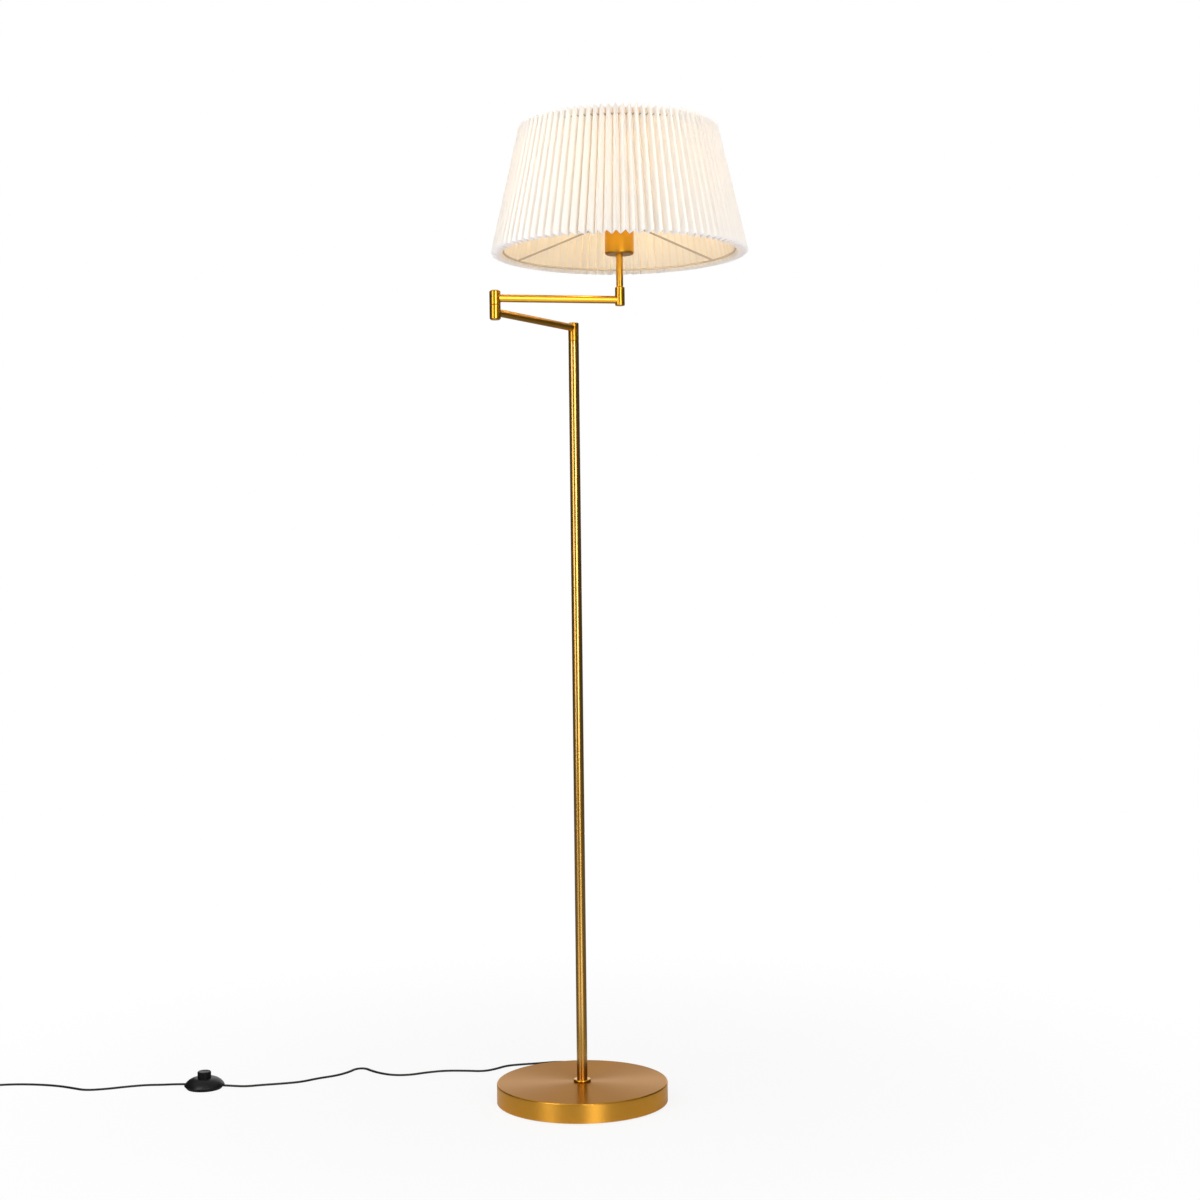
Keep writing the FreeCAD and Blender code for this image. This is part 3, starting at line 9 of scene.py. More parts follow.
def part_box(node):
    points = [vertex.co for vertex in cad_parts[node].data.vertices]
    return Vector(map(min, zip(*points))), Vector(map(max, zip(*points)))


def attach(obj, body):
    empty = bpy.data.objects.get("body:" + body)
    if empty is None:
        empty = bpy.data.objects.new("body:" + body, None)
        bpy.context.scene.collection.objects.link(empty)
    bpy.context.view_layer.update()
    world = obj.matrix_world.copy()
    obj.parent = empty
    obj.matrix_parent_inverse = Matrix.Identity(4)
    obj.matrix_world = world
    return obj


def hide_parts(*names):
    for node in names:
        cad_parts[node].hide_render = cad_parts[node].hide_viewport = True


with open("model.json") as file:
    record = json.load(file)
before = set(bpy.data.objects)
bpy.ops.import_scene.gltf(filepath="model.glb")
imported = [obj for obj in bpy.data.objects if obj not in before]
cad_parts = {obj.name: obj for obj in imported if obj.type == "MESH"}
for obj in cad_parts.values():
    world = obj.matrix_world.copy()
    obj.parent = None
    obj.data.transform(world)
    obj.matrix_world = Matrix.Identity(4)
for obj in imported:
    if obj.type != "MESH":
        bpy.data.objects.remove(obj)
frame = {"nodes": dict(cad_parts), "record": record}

UP = Vector((0, 0, 1))
MM = 0.001
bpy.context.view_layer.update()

# ---------------------------------------------------------------- camera
CAMERA_PLACE = (0.0355, -2.9053, 0.7840)
CAMERA_TILT = -0.0071
CAMERA_ROLL = -0.0117
CAMERA_LENS = 57.31
CAMERA_SENSOR = 36


def make_camera():
    data = bpy.data.cameras.new("camera")
    data.sensor_width = CAMERA_SENSOR
    data.lens = CAMERA_LENS
    camera = bpy.data.objects.new("camera", data)
    bpy.context.collection.objects.link(camera)
    turn = Matrix.Rotation(math.pi / 2 + CAMERA_TILT, 4, "X") @ Matrix.Rotation(CAMERA_ROLL, 4, "Z")
    camera.matrix_world = Matrix.Translation(CAMERA_PLACE) @ turn
    bpy.context.scene.camera = camera


make_camera()


# ---------------------------------------------------------------- small helpers
def new_object(name, mesh, body, slot, *hidden_nodes):
    piece = bpy.data.objects.new(name, mesh)
    bpy.context.collection.objects.link(piece)
    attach(piece, body)
    if hidden_nodes:
        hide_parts(*hidden_nodes)
    return piece


# ---------------------------------------------------------------- cord: where it lies, in metres
CORD_WIDTH = 0.0048
CORD_THICKNESS = 0.003
CORD_GROOVE_LEVEL = 0.0011
CORD_CORE_ANGLES = (-62, -36, -12, 12, 36, 62)
CORD_LINE_STEPS = 10
RELIEF_TIP = Vector((0, 0.15360, 0.010))
SWITCH_PLACE = Vector((-0.5976, 0.104, 0))
SWITCH_TURN = math.radians(-9)
SWITCH_ENTRY = 0.0304
SWITCH_ENTRY_HEIGHT = 0.005

SWITCH_CORD_POINTS = [
    (0, 0.167, 0.010),
    (0, 0.182, 0.0066),
    (0, 0.197, 0.0016),
    (0, 0.211, 0.0016),
    (-0.008, 0.226, 0.0016),
    (-0.024, 0.236, 0.0016),
    (-0.048, 0.237, 0.0016),
    (-0.073, 0.229, 0.0016),
    (-0.098, 0.224, 0.0016),
    (-0.126, 0.216, 0.0016),
    (-0.143, 0.195, 0.0016),
    (-0.162, 0.181, 0.0016),
    (-0.190, 0.186, 0.0016),
    (-0.225, 0.188, 0.0016),
    (-0.254, 0.178, 0.0016),
    (-0.280, 0.163, 0.0016),
    (-0.306, 0.163, 0.0016),
    (-0.328, 0.176, 0.0016),
    (-0.344, 0.192, 0.0016),
    (-0.357, 0.210, 0.0016),
    (-0.372, 0.207, 0.0016),
    (-0.380, 0.187, 0.0016),
    (-0.397, 0.165, 0.0016),
    (-0.425, 0.149, 0.0016),
    (-0.448, 0.128, 0.0016),
    (-0.478, 0.1185, 0.0016),
    (-0.508, 0.112, 0.0016),
    (-0.532, 0.101, 0.0024),
    (-0.550, 0.0964, 0.0046),
]
PLUG_CORD_POINTS = [
    (-0.646, 0.1118, 0.0044),
    (-0.667, 0.118, 0.0021),
    (-0.692, 0.120, 0.0016),
    (-0.722, 0.111, 0.0016),
    (-0.752, 0.098, 0.0016),
    (-0.783, 0.092, 0.0016),
    (-0.806, 0.106, 0.0016),
    (-0.832, 0.120, 0.0016),
    (-0.866, 0.130, 0.0016),
    (-0.905, 0.134, 0.0016),
    (-0.940, 0.129, 0.0016),
    (-0.968, 0.122, 0.0022),
]

COIL_PLACE = Vector((-0.991, 0.159, 0))
COIL_RADIUS = 0.0369
COIL_PITCH = 0.0054
COIL_LOW = 0.0024
COIL_HIGH = 0.0060
COIL_LAYER_HALF_TURNS = 6
COIL_STEPS = 8
PLUG_RELIEF_START = Vector((-1.0279, 0.1938, 0.00685))


def switch_side(sign):
    """Where the cord meets the switch: right of it for 1 and left of it for -1."""
    out = Vector((math.cos(SWITCH_TURN), math.sin(SWITCH_TURN), 0)) * (sign * SWITCH_ENTRY)
    return SWITCH_PLACE + out + UP * SWITCH_ENTRY_HEIGHT


def coil_half_turn(radius, shift, westward, low, high):
    """Control points of half a turn, clockwise from above: up its west side or down its east side."""
    step = math.pi / COIL_STEPS
    reach = radius / math.cos(step / 2)
    start = -math.pi / 2 if westward else math.pi / 2
    spots = []
    for index in range(COIL_STEPS):
        share = (index + 0.5) / COIL_STEPS
        angle = start - math.pi * share
        flat = COIL_PLACE + Vector((reach * math.cos(angle), shift + reach * math.sin(angle), 0))
        spots.append(flat + UP * (low + (high - low) * share))
    return spots


def coil_points():
    """Three turns wound inwards, half a turn that climbs, and two and three quarter turns wound outwards."""
    spots = [COIL_PLACE + Vector((CORD_WIDTH, -COIL_RADIUS, COIL_LOW))]
    for turn in range(COIL_LAYER_HALF_TURNS):
        shift = COIL_PITCH / 2 * (turn % 2)
        radius = COIL_RADIUS - COIL_PITCH / 2 * turn
        spots += coil_half_turn(radius, shift, turn % 2 == 0, COIL_LOW, COIL_LOW)
    inner = COIL_RADIUS - COIL_PITCH / 2 * COIL_LAYER_HALF_TURNS
    spots += coil_half_turn(inner, 0, True, COIL_LOW, COIL_HIGH)
    for turn in range(1, COIL_LAYER_HALF_TURNS):
        shift = -COIL_PITCH / 2 * (turn % 2)
        radius = inner + COIL_PITCH / 2 * turn
        spots += coil_half_turn(radius, shift, turn % 2 == 0, COIL_HIGH, COIL_HIGH)
    spots += coil_half_turn(COIL_RADIUS, 0, True, COIL_HIGH, COIL_HIGH)[: COIL_STEPS // 2]
    spots.append(COIL_PLACE + Vector((-COIL_RADIUS, CORD_WIDTH, COIL_HIGH)))
    return spots


def smooth_line(name, points):
    """Points read along the smooth curve that has the route's points as its control points."""
    data = bpy.data.curves.new(name, "CURVE")
    data.dimensions = "3D"
    data.resolution_u = CORD_LINE_STEPS
    spline = data.splines.new("NURBS")
    spline.points.add(len(points) - 1)
    for spot, point in zip(spline.points, points):
        spot.co = (*point, 1)
    spline.order_u = 3
    spline.use_endpoint_u = True
    guide = bpy.data.objects.new(name, data)
    mesh = bpy.data.meshes.new_from_object(guide)
    line = [vertex.co.copy() for vertex in mesh.vertices]
    bpy.data.objects.remove(guide)
    bpy.data.meshes.remove(mesh)
    return line


def twin_outline():
    """The cord's cross-section, two round cores side by side with a shallow groove between them."""
    half = CORD_THICKNESS / 2
    offset = CORD_WIDTH / 2 - half
    crest, flank, flank_level = offset * 0.9, offset * 0.4, half * 0.93
    core = [math.radians(angle) for angle in CORD_CORE_ANGLES]
    spots = [(offset + half * math.cos(angle), half * math.sin(angle)) for angle in core]
    spots += [(crest, half), (flank, flank_level), (0, CORD_GROOVE_LEVEL)]
    mirrored = [(-x, y) for x, y in reversed(spots[:-1])]
    underside = [(-crest, -half), (-flank, -flank_level), (0, -CORD_GROOVE_LEVEL)]
    underside += [(flank, -flank_level), (crest, -half)]
    return spots + mirrored + underside


def cord_mesh(name, line):
    """The flat twin sheath along a line, lying flat, with its own map of metres along and around."""
    outline = twin_outline()
    builder = bmesh.new()
    rings = []
    travelled = [0.0]
    for before, after in zip(line, line[1:]):
        travelled.append(travelled[-1] + (after - before).length)
    for index, spot in enumerate(line):
        ahead = line[min(index + 1, len(line) - 1)] - line[max(index - 1, 0)]
        side = UP.cross(ahead).normalized()
        rise = ahead.cross(side).normalized()
        rings.append([builder.verts.new(spot + side * across + rise * up) for across, up in outline])
    along = builder.loops.layers.uv.new("UVMap")
    count = len(outline)
    for index, (near, far) in enumerate(zip(rings, rings[1:])):
        for corner in range(count):
            following = (corner + 1) % count
            face = builder.faces.new((near[corner], near[following], far[following], far[corner]))
            face.smooth = True
            places = ((index, corner), (index, corner + 1), (index + 1, corner + 1), (index + 1, corner))
            for loop, (row, column) in zip(face.loops, places):
                loop[along].uv = (travelled[row], column / count * 2 * CORD_WIDTH)
    builder.faces.new(rings[0])
    builder.faces.new(reversed(rings[-1]))
    bmesh.ops.recalc_face_normals(builder, faces=builder.faces)
    mesh = bpy.data.meshes.new(name)
    builder.to_mesh(mesh)
    builder.free()
    return mesh


def make_cords():
    inner_route = [RELIEF_TIP, *SWITCH_CORD_POINTS, switch_side(1)]
    inner_line = smooth_line("base_cord_line", inner_route)
    base_cord = new_object(
        "base_cord", cord_mesh("base_cord", inner_line), "stand", "cord_sheath", "base_to_switch_cord"
    )
    outer_route = [switch_side(-1), *PLUG_CORD_POINTS, *coil_points(), PLUG_RELIEF_START]
    outer_line = smooth_line("plug_cord_line", outer_route)
    plug_cord = new_object(
        "plug_cord",
        cord_mesh("plug_cord", outer_line),
        "stand",
        "cord_sheath",
        "switch_to_coil_cord",
        "cord_coil",
        "coil_to_plug_cord",
    )
    return base_cord, plug_cord


base_cord, plug_cord = make_cords()


# ---------------------------------------------------------------- node materials
def new_material(name):
    """A material, its tree, its Principled shader, and a function that adds a node to the tree."""
    material = bpy.data.materials.new(name)
    material.use_nodes = True
    tree = material.node_tree
    shader = tree.nodes["Principled BSDF"]

    def add(kind, **values):
        node = tree.nodes.new(f"ShaderNode{kind}")
        for key, value in values.items():
            if key in node.inputs:
                node.inputs[key].default_value = value
            else:
                setattr(node, key, value)
        return node

    return material, tree, shader, add


def own_place(tree, add, stretch=(1, 1, 1), turn=0.0):
    """The piece's own coordinates, in metres, turned about the vertical and then scaled along each axis."""
    source = add("TexCoord")
    turned = add("Mapping", Rotation=(0, 0, -turn))
    stretched = add("Mapping", Scale=stretch)
    tree.links.new(source.outputs["Object"], turned.inputs["Vector"])
    tree.links.new(turned.outputs["Vector"], stretched.inputs["Vector"])
    return stretched.outputs["Vector"]


def drive(tree, add, source, target, low, high):
    """A pattern from 0 to 1 that moves a socket between two values."""
    spread = add("MapRange")
    spread.inputs["To Min"].default_value = low
    spread.inputs["To Max"].default_value = high
    tree.links.new(source, spread.inputs["Value"])
    tree.links.new(spread.outputs["Result"], target)


def mixed_colour(tree, add, share, first, second, target=None):
    """A colour between two, each a triple or a socket, by a share from 0 to 1."""
    mixer = add("Mix", data_type="RGBA")
    slots = [slot for slot in mixer.inputs if slot.type == "RGBA"]
    for slot, colour in zip(slots, (first, second)):
        if isinstance(colour, tuple):
            slot.default_value = (*colour, 1)
        else:
            tree.links.new(colour, slot)
    tree.links.new(share, mixer.inputs["Factor"])
    blended = next(slot for slot in mixer.outputs if slot.type == "RGBA")
    if target:
        tree.links.new(blended, target)
    return blended


def bumped(tree, add, source, shader, height, strength):
    """A pattern from 0 to 1 that raises the surface by up to a height in metres, as shading alone."""
    bump = add("Bump", Distance=height, Strength=strength)
    tree.links.new(source, bump.inputs["Height"])
    tree.links.new(bump.outputs["Normal"], shader.inputs["Normal"])


def noise_on(tree, add, place, scale, detail=2.0):
    noise = add("TexNoise", Scale=scale, Detail=detail)
    tree.links.new(place, noise.inputs["Vector"])
    return noise.outputs["Fac"]


def band(tree, add, source, start, end):
    """A share that rises from 0 at one value to 1 at another."""
    spread = add("MapRange", interpolation_type="SMOOTHSTEP")
    spread.inputs["From Min"].default_value = start
    spread.inputs["From Max"].default_value = end
    tree.links.new(source, spread.inputs["Value"])
    return spread.outputs["Result"]


def product(tree, add, first, second):
    node = add("Math", operation="MULTIPLY")
    tree.links.new(first, node.inputs[0])
    tree.links.new(second, node.inputs[1])
    return node.outputs[0]


def show(tree, shader_socket):
    tree.links.new(shader_socket, tree.nodes["Material Output"].inputs["Surface"])


def show_both(tree, add, share, first, second):
    """The surface shows two shaders, the second by a share from 0 to 1 that is a number or a socket."""
    both = add("MixShader")
    if isinstance(share, float):
        both.inputs["Fac"].default_value = share
    else:
        tree.links.new(share, both.inputs["Fac"])
    tree.links.new(first, both.inputs[1])
    tree.links.new(second, both.inputs[2])
    show(tree, both.outputs["Shader"])


BRASS_DEEP = (0.72, 0.350, 0.022)
BRASS_PALE = (0.84, 0.430, 0.045)
POLE_TONES = ((0.68, 0.37, 0.070), (0.80, 0.46, 0.110))
POLE_COAT = 0.5
POLE_ROUGHNESS = 0.27
ARM_ROUGHNESS = 0.32
HUB_ROUGHNESS = 0.3
CUP_ROUGHNESS = 0.34
CUP_COAT = 0.05
COAT_ROUGHNESS = 0.12
FINE_LINES = 500.0  # polishing lines per metre, across them
LONG_LINES = 5.0  # and along them
LINE_DEPTH = 0.000004
TARNISH_SCALE = 16.0


def brass(name, gloss, stretch, turn=0.0, tones=(BRASS_DEEP, BRASS_PALE), coat=0.2, marks=0.1):
    """Lacquered brass: fine polishing lines, faint tarnish, and a thin clear coat over it."""
    material, tree, shader, add = new_material(name)
    shader.inputs["Metallic"].default_value = 1
    shader.inputs["Coat Weight"].default_value = coat
    shader.inputs["Coat Roughness"].default_value = COAT_ROUGHNESS
    lines = noise_on(tree, add, own_place(tree, add, stretch, turn), scale=1.0, detail=1.0)
    cloud = noise_on(tree, add, own_place(tree, add), TARNISH_SCALE)
    mixed_colour(tree, add, cloud, *tones, shader.inputs["Base Color"])
    drive(tree, add, lines, shader.inputs["Roughness"], gloss * 0.8, gloss * 1.2)
    bumped(tree, add, lines, shader, LINE_DEPTH, marks)
    return material, tree, shader, add


# painted shade: the top's brass tones are darker than the side's, for how the top is lit
BASE_TOP_PAINTED_SHADE = ((0.37, 0.148, 0.006), (0.44, 0.186, 0.012))
BASE_TOP_TINT = (1.0, 0.90, 0.78)
BASE_ROUGHNESS = 0.36
BASE_COAT = 0.02
BASE_MARKS = 0.05
BASE_STRETCH = 0.8
BASE_STRETCH_TURN = 0.25  # of a full turn
# painted light: a brighter tone of the same brass on the side
BASE_SIDE_PAINTED_LIGHT = (0.74, 0.360, 0.045)
BASE_SIDE_STARTS = 0.1275
BASE_SIDE_ENDS = 0.1292


def round_brushed(name):
    """The base, brushed in circles about the pole, with painted shade on the top and painted light on the
    side: darker and brighter copies of the same brass.
    """
    flat_rings = (1, 1, FINE_LINES)
    material, tree, shader, add = brass(
        name, BASE_ROUGHNESS, flat_rings, tones=BASE_TOP_PAINTED_SHADE, coat=BASE_COAT, marks=BASE_MARKS
    )
    shader.inputs["Specular Tint"].default_value = (*BASE_TOP_TINT, 1)
    shader.inputs["Anisotropic"].default_value = BASE_STRETCH
    shader.inputs["Anisotropic Rotation"].default_value = BASE_STRETCH_TURN
    tangent = add("Tangent", direction_type="RADIAL", axis="Z")
    tree.links.new(tangent.outputs["Tangent"], shader.inputs["Tangent"])
    distance = add("VectorMath", operation="LENGTH")
    tree.links.new(own_place(tree, add, (1, 1, 0)), distance.inputs[0])
    # painted light on the side and painted shade on the top, split where the top meets the side
    lit_side = band(tree, add, distance.outputs["Value"], BASE_SIDE_STARTS, BASE_SIDE_ENDS)
    shaded_top = shader.inputs["Base Color"].links[0].from_socket
    mixed_colour(tree, add, lit_side, shaded_top, BASE_SIDE_PAINTED_LIGHT, shader.inputs["Base Color"])
    return material


def moulded(name, colour, roughness, grain=2600.0):
    """Moulded plastic or rubber with a fine grain."""
    material, tree, shader, add = new_material(name)
    shader.inputs["Specular IOR Level"].default_value = 0.35
    noise = noise_on(tree, add, own_place(tree, add), grain)
    lighter = tuple(min(channel * 1.3 + 0.001, 1) for channel in colour)
    mixed_colour(tree, add, noise, colour, lighter, shader.inputs["Base Color"])
    drive(tree, add, noise, shader.inputs["Roughness"], roughness * 0.85, roughness * 1.15)
    bumped(tree, add, noise, shader, height=0.00003, strength=0.3)
    return material


def plain_metal(name, colour, roughness):
    """Plated or cast metal with a faint unevenness."""
    material, tree, shader, add = new_material(name)
    shader.inputs["Metallic"].default_value = 1
    noise = noise_on(tree, add, own_place(tree, add), scale=180.0, detail=3.0)
    darker = tuple(channel * 0.85 for channel in colour)
    mixed_colour(tree, add, noise, darker, colour, shader.inputs["Base Color"])
    drive(tree, add, noise, shader.inputs["Roughness"], roughness * 0.8, roughness * 1.3)
    bumped(tree, add, noise, shader, height=0.00002, strength=0.2)
    return material


SHEATH_TONES = ((0.003, 0.003, 0.003), (0.007, 0.007, 0.007))
SHEATH_MARKS = (60, 1800, 1)  # per metre along the cord, and round it


def cord_sheath(name):
    """Soft black sheath: slightly cloudy, with fine marks along its length on the cord's own map."""
    material, tree, shader, add = new_material(name)
    source = add("UVMap", uv_map="UVMap")
    mapping = add("Mapping", Scale=SHEATH_MARKS)
    tree.links.new(source.outputs["UV"], mapping.inputs["Vector"])
    noise = noise_on(tree, add, mapping.outputs["Vector"], scale=1.0, detail=3.0)
    mixed_colour(tree, add, noise, *SHEATH_TONES, shader.inputs["Base Color"])
    drive(tree, add, noise, shader.inputs["Roughness"], low=0.38, high=0.55)
    bumped(tree, add, noise, shader, height=0.00004, strength=0.3)
    return material


CLOTH_RIDGE = (0.975, 0.970, 0.960)
# painted shade in the valleys of the pleats
CLOTH_VALLEY_PAINTED_SHADE = (0.930, 0.850, 0.740)
# a darker, pinker tone in the valleys of the band above the top ring
CLOTH_TOP_BAND_VALLEY = (0.930, 0.760, 0.640)
# painted shade: a bluish tint along the cloth's bottom edge
CLOTH_BOTTOM_PAINTED_SHADE = (0.930, 0.935, 0.985)
CLOTH_STITCH = (0.250, 0.230, 0.170)
CLOTH_GLOW = (1.0, 0.95, 0.88)
CLOTH_TRANSLUCENCE = 0.30
TOP_BAND_HEIGHT = 0.0105
SEAM_BLUR = 0.0006
BOTTOM_SHADE_HEIGHT = 0.004
BOTTOM_SHADE_FULL_HEIGHT = 0.002
STITCH_HEIGHT = 0.0011
THREAD_SCALE = 620.0
THREAD_WAVINESS = 0.4


def pleated_cloth(name):
    """Off-white cloth on its own map in metres: woven, with painted shade in its folds and a bluish painted
    shade along its bottom edge, darker and pinker in the valleys above the top ring, and lit through by the
    bulb.
    """
    material, tree, shader, add = new_material(name)
    source = add("UVMap", uv_map="UVMap")
    threads = []
    for direction in ("X", "Y"):
        wave = add("TexWave", wave_type="BANDS", bands_direction=direction)
        wave.inputs["Scale"].default_value = THREAD_SCALE
        wave.inputs["Distortion"].default_value = THREAD_WAVINESS
        tree.links.new(source.outputs["UV"], wave.inputs["Vector"])
        threads.append(wave.outputs["Fac"])
    weave = add("Math", operation="MAXIMUM")
    for socket, thread in zip(weave.inputs, threads):
        tree.links.new(thread, socket)

    valley = add("Attribute", attribute_name="valley").outputs["Fac"]
    level = add("Attribute", attribute_name="level").outputs["Fac"]
    fold = band(tree, add, valley, start=0.75, end=1.0)
    seam = CLOTH_SLANT - TOP_BAND_HEIGHT
    # the band above the ring's line, where the valleys are darker and pinker
    top_band = band(tree, add, level, seam - SEAM_BLUR, seam + SEAM_BLUR)
    # painted shade along the lowest few millimetres of the cloth
    bottom_shade = band(tree, add, level, BOTTOM_SHADE_HEIGHT, BOTTOM_SHADE_FULL_HEIGHT)
    rising = band(tree, add, level, seam - STITCH_HEIGHT, seam - STITCH_HEIGHT / 2)
    falling = band(tree, add, level, seam + STITCH_HEIGHT, seam + STITCH_HEIGHT / 2)
    sunk = band(tree, add, valley, start=0.55, end=0.7)
    stitch = product(tree, add, product(tree, add, rising, falling), sunk)
    # painted shade: the valleys take a darker, warmer colour than the ridges
    plain = mixed_colour(tree, add, fold, CLOTH_RIDGE, CLOTH_VALLEY_PAINTED_SHADE)
    top_banded = mixed_colour(tree, add, product(tree, add, top_band, fold), plain, CLOTH_TOP_BAND_VALLEY)
    stitched = mixed_colour(tree, add, stitch, top_banded, CLOTH_STITCH)
    # the bluish painted shade goes over everything at the bottom edge
    bottom_shaded = mixed_colour(tree, add, bottom_shade, stitched, CLOTH_BOTTOM_PAINTED_SHADE)
    thin = add("HueSaturation", Value=0.96)
    tree.links.new(bottom_shaded, thin.inputs["Color"])
    mixed_colour(tree, add, weave.outputs[0], thin.outputs["Color"], bottom_shaded, shader.inputs["Base Color"])
    drive(tree, add, weave.outputs[0], shader.inputs["Roughness"], low=0.95, high=0.8)
    shader.inputs["Sheen Weight"].default_value = 0.1
    shader.inputs["Specular IOR Level"].default_value = 0.15
    bumped(tree, add, weave.outputs[0], shader, height=0.00005, strength=0.4)

    glow = add("BsdfTranslucent", Color=(*CLOTH_GLOW, 1))
    show_both(tree, add, CLOTH_TRANSLUCENCE, shader.outputs["BSDF"], glow.outputs["BSDF"])
    return material


BULB_TONES = ((0.90, 0.86, 0.78), (0.94, 0.90, 0.84))
BULB_LIGHT = (1.0, 0.69, 0.28)
BULB_STRENGTH = 26


def lit_glass(name):
    """Frosted glass of a lit bulb, with a warm and even glow."""
    material, tree, shader, add = new_material(name)
    noise = noise_on(tree, add, own_place(tree, add), scale=900.0)
    mixed_colour(tree, add, noise, *BULB_TONES, shader.inputs["Base Color"])
    drive(tree, add, noise, shader.inputs["Roughness"], low=0.35, high=0.5)
    bumped(tree, add, noise, shader, height=0.00002, strength=0.3)
    shader.inputs["Emission Color"].default_value = (*BULB_LIGHT, 1)
    shader.inputs["Emission Strength"].default_value = BULB_STRENGTH
    return material


LOWER_ARM_ANGLE = math.radians(-121.9)
UPPER_ARM_ANGLE = math.radians(9.2)


def make_materials():
    """The finish of each material slot, and of the few nodes whose polishing lines run another way."""
    along_z = (FINE_LINES, FINE_LINES, LONG_LINES)
    along_x = (LONG_LINES, FINE_LINES, FINE_LINES)
    round_z = (LONG_LINES, LONG_LINES, FINE_LINES)
    black = (0.003, 0.003, 0.0033)
    slots = {
        "bronze_brass": round_brushed("bronze_brushed_brass"),
        "polished_brass": brass("lacquered_brass_turned", HUB_ROUGHNESS, round_z)[0],
        "satin_brass": brass("satin_gold_brass", CUP_ROUGHNESS, round_z, coat=CUP_COAT)[0],
        "contact_brass": plain_metal("bare_contact_brass", (0.70, 0.50, 0.20), 0.35),
        "zinc_steel": plain_metal("zinc_plated_steel", (0.55, 0.55, 0.56), 0.35),
        "cast_iron": plain_metal("raw_casting", (0.16, 0.16, 0.17), 0.7),
        "lamp_cap_metal": plain_metal("bulb_cap_alloy", (0.75, 0.75, 0.75), 0.3),
        "plug_metal": plain_metal("nickel_plate", (0.72, 0.70, 0.66), 0.2),
        "foot_pad": moulded("black_foam_pad", black, 0.9, 1400.0),
        "black_board": moulded("black_board_fibre", (0.02, 0.02, 0.02), 0.8, 700.0),
        "black_plastic": moulded("matt_black_moulding", black, 0.36),
        "lead_sheath": moulded("black_lead_sheath", black, 0.5),
        "tie_plastic": moulded("black_tie_strap", black, 0.45),
        "holder_plastic": moulded("pale_holder_moulding", (0.72, 0.68, 0.60), 0.4),
        # painted shade: the white wire gets a grey-brown colour, as seen backlit against the lit inside of
        # the shade
        "white_wire": moulded("shaded_white_wire", (0.46, 0.40, 0.34), 0.35),
        "frosted_glass": lit_glass("lit_frosted_glass"),
        "pleated_fabric": pleated_cloth("pleated_cloth"),
        "cord_sheath": cord_sheath("black_cord_sheath"),
    }
    pole = brass("lacquered_brass_pole", POLE_ROUGHNESS, along_z, tones=POLE_TONES, coat=POLE_COAT)[0]
    nodes = {node: pole for node in ("lower_pole_tube", "middle_pole_tube", "upper_pole_tube")}
    nodes["lower_arm_tube"] = brass("lacquered_brass_lower_arm", ARM_ROUGHNESS, along_x, LOWER_ARM_ANGLE)[0]
    nodes["upper_arm_tube"] = brass("lacquered_brass_upper_arm", ARM_ROUGHNESS, along_x, UPPER_ARM_ANGLE)[0]
    nodes["head_stem"] = brass("lacquered_brass_stem", ARM_ROUGHNESS, along_z)[0]
    return slots, nodes


# ---------------------------------------------------------------- pleated shade
SHADE_BOX = [Vector(corner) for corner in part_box("shade_fabric")]
HEAD = Vector(((SHADE_BOX[0].x + SHADE_BOX[1].x) / 2, (SHADE_BOX[0].y + SHADE_BOX[1].y) / 2, 0))
SHADE_RISE = 0.1808
SHADE_SIZES = {
    "Pleats": 90,
    "Bottom Radius": 0.1854,
    "Top Radius": 0.1434,
    "Bottom Level": SHADE_BOX[1].z - SHADE_RISE,
    "Rise": SHADE_RISE,
    "Pleat Depth": 0.014,
    "Roundness": 0.15,
    "Unevenness": 0.07,
}
CLOTH_THICKNESS = 0.0005
CLOTH_SLANT = math.hypot(SHADE_SIZES["Rise"], SHADE_SIZES["Bottom Radius"] - SHADE_SIZES["Top Radius"])
COLUMNS_PER_PLEAT = 8
SHADE_ROWS = 15
PLEAT_SEED = 3


class Formula:
    """Builds math nodes of a geometry tree from ordinary arithmetic."""

    def __init__(self, tree, socket):
        self.tree = tree
        self.socket = socket

    def combine(self, operation, *others):
        node = self.tree.nodes.new("ShaderNodeMath")
        node.operation = operation
        for slot, item in zip(node.inputs, (self, *others)):
            if isinstance(item, Formula):
                self.tree.links.new(item.socket, slot)
            else:
                slot.default_value = item
        return Formula(self.tree, node.outputs[0])

    def __add__(self, other):
        return self.combine("ADD", other)

    def __sub__(self, other):
        return self.combine("SUBTRACT", other)

    def __mul__(self, other):
        return self.combine("MULTIPLY", other)

    def __truediv__(self, other):
        return self.combine("DIVIDE", other)


def named_inputs(tree, sizes):
    """Named inputs of the tree, one for each size."""
    for name, size in sizes.items():
        kind = "NodeSocketInt" if isinstance(size, int) else "NodeSocketFloat"
        socket = tree.interface.new_socket(name, in_out="INPUT", socket_type=kind)
        socket.default_value = size
    tree.interface.new_socket("Cloth", in_out="INPUT", socket_type="NodeSocketMaterial")
    tree.interface.new_socket("Geometry", in_out="OUTPUT", socket_type="NodeSocketGeometry")
    source = tree.nodes.new("NodeGroupInput")
    return source, {name: Formula(tree, source.outputs[name]) for name in sizes}


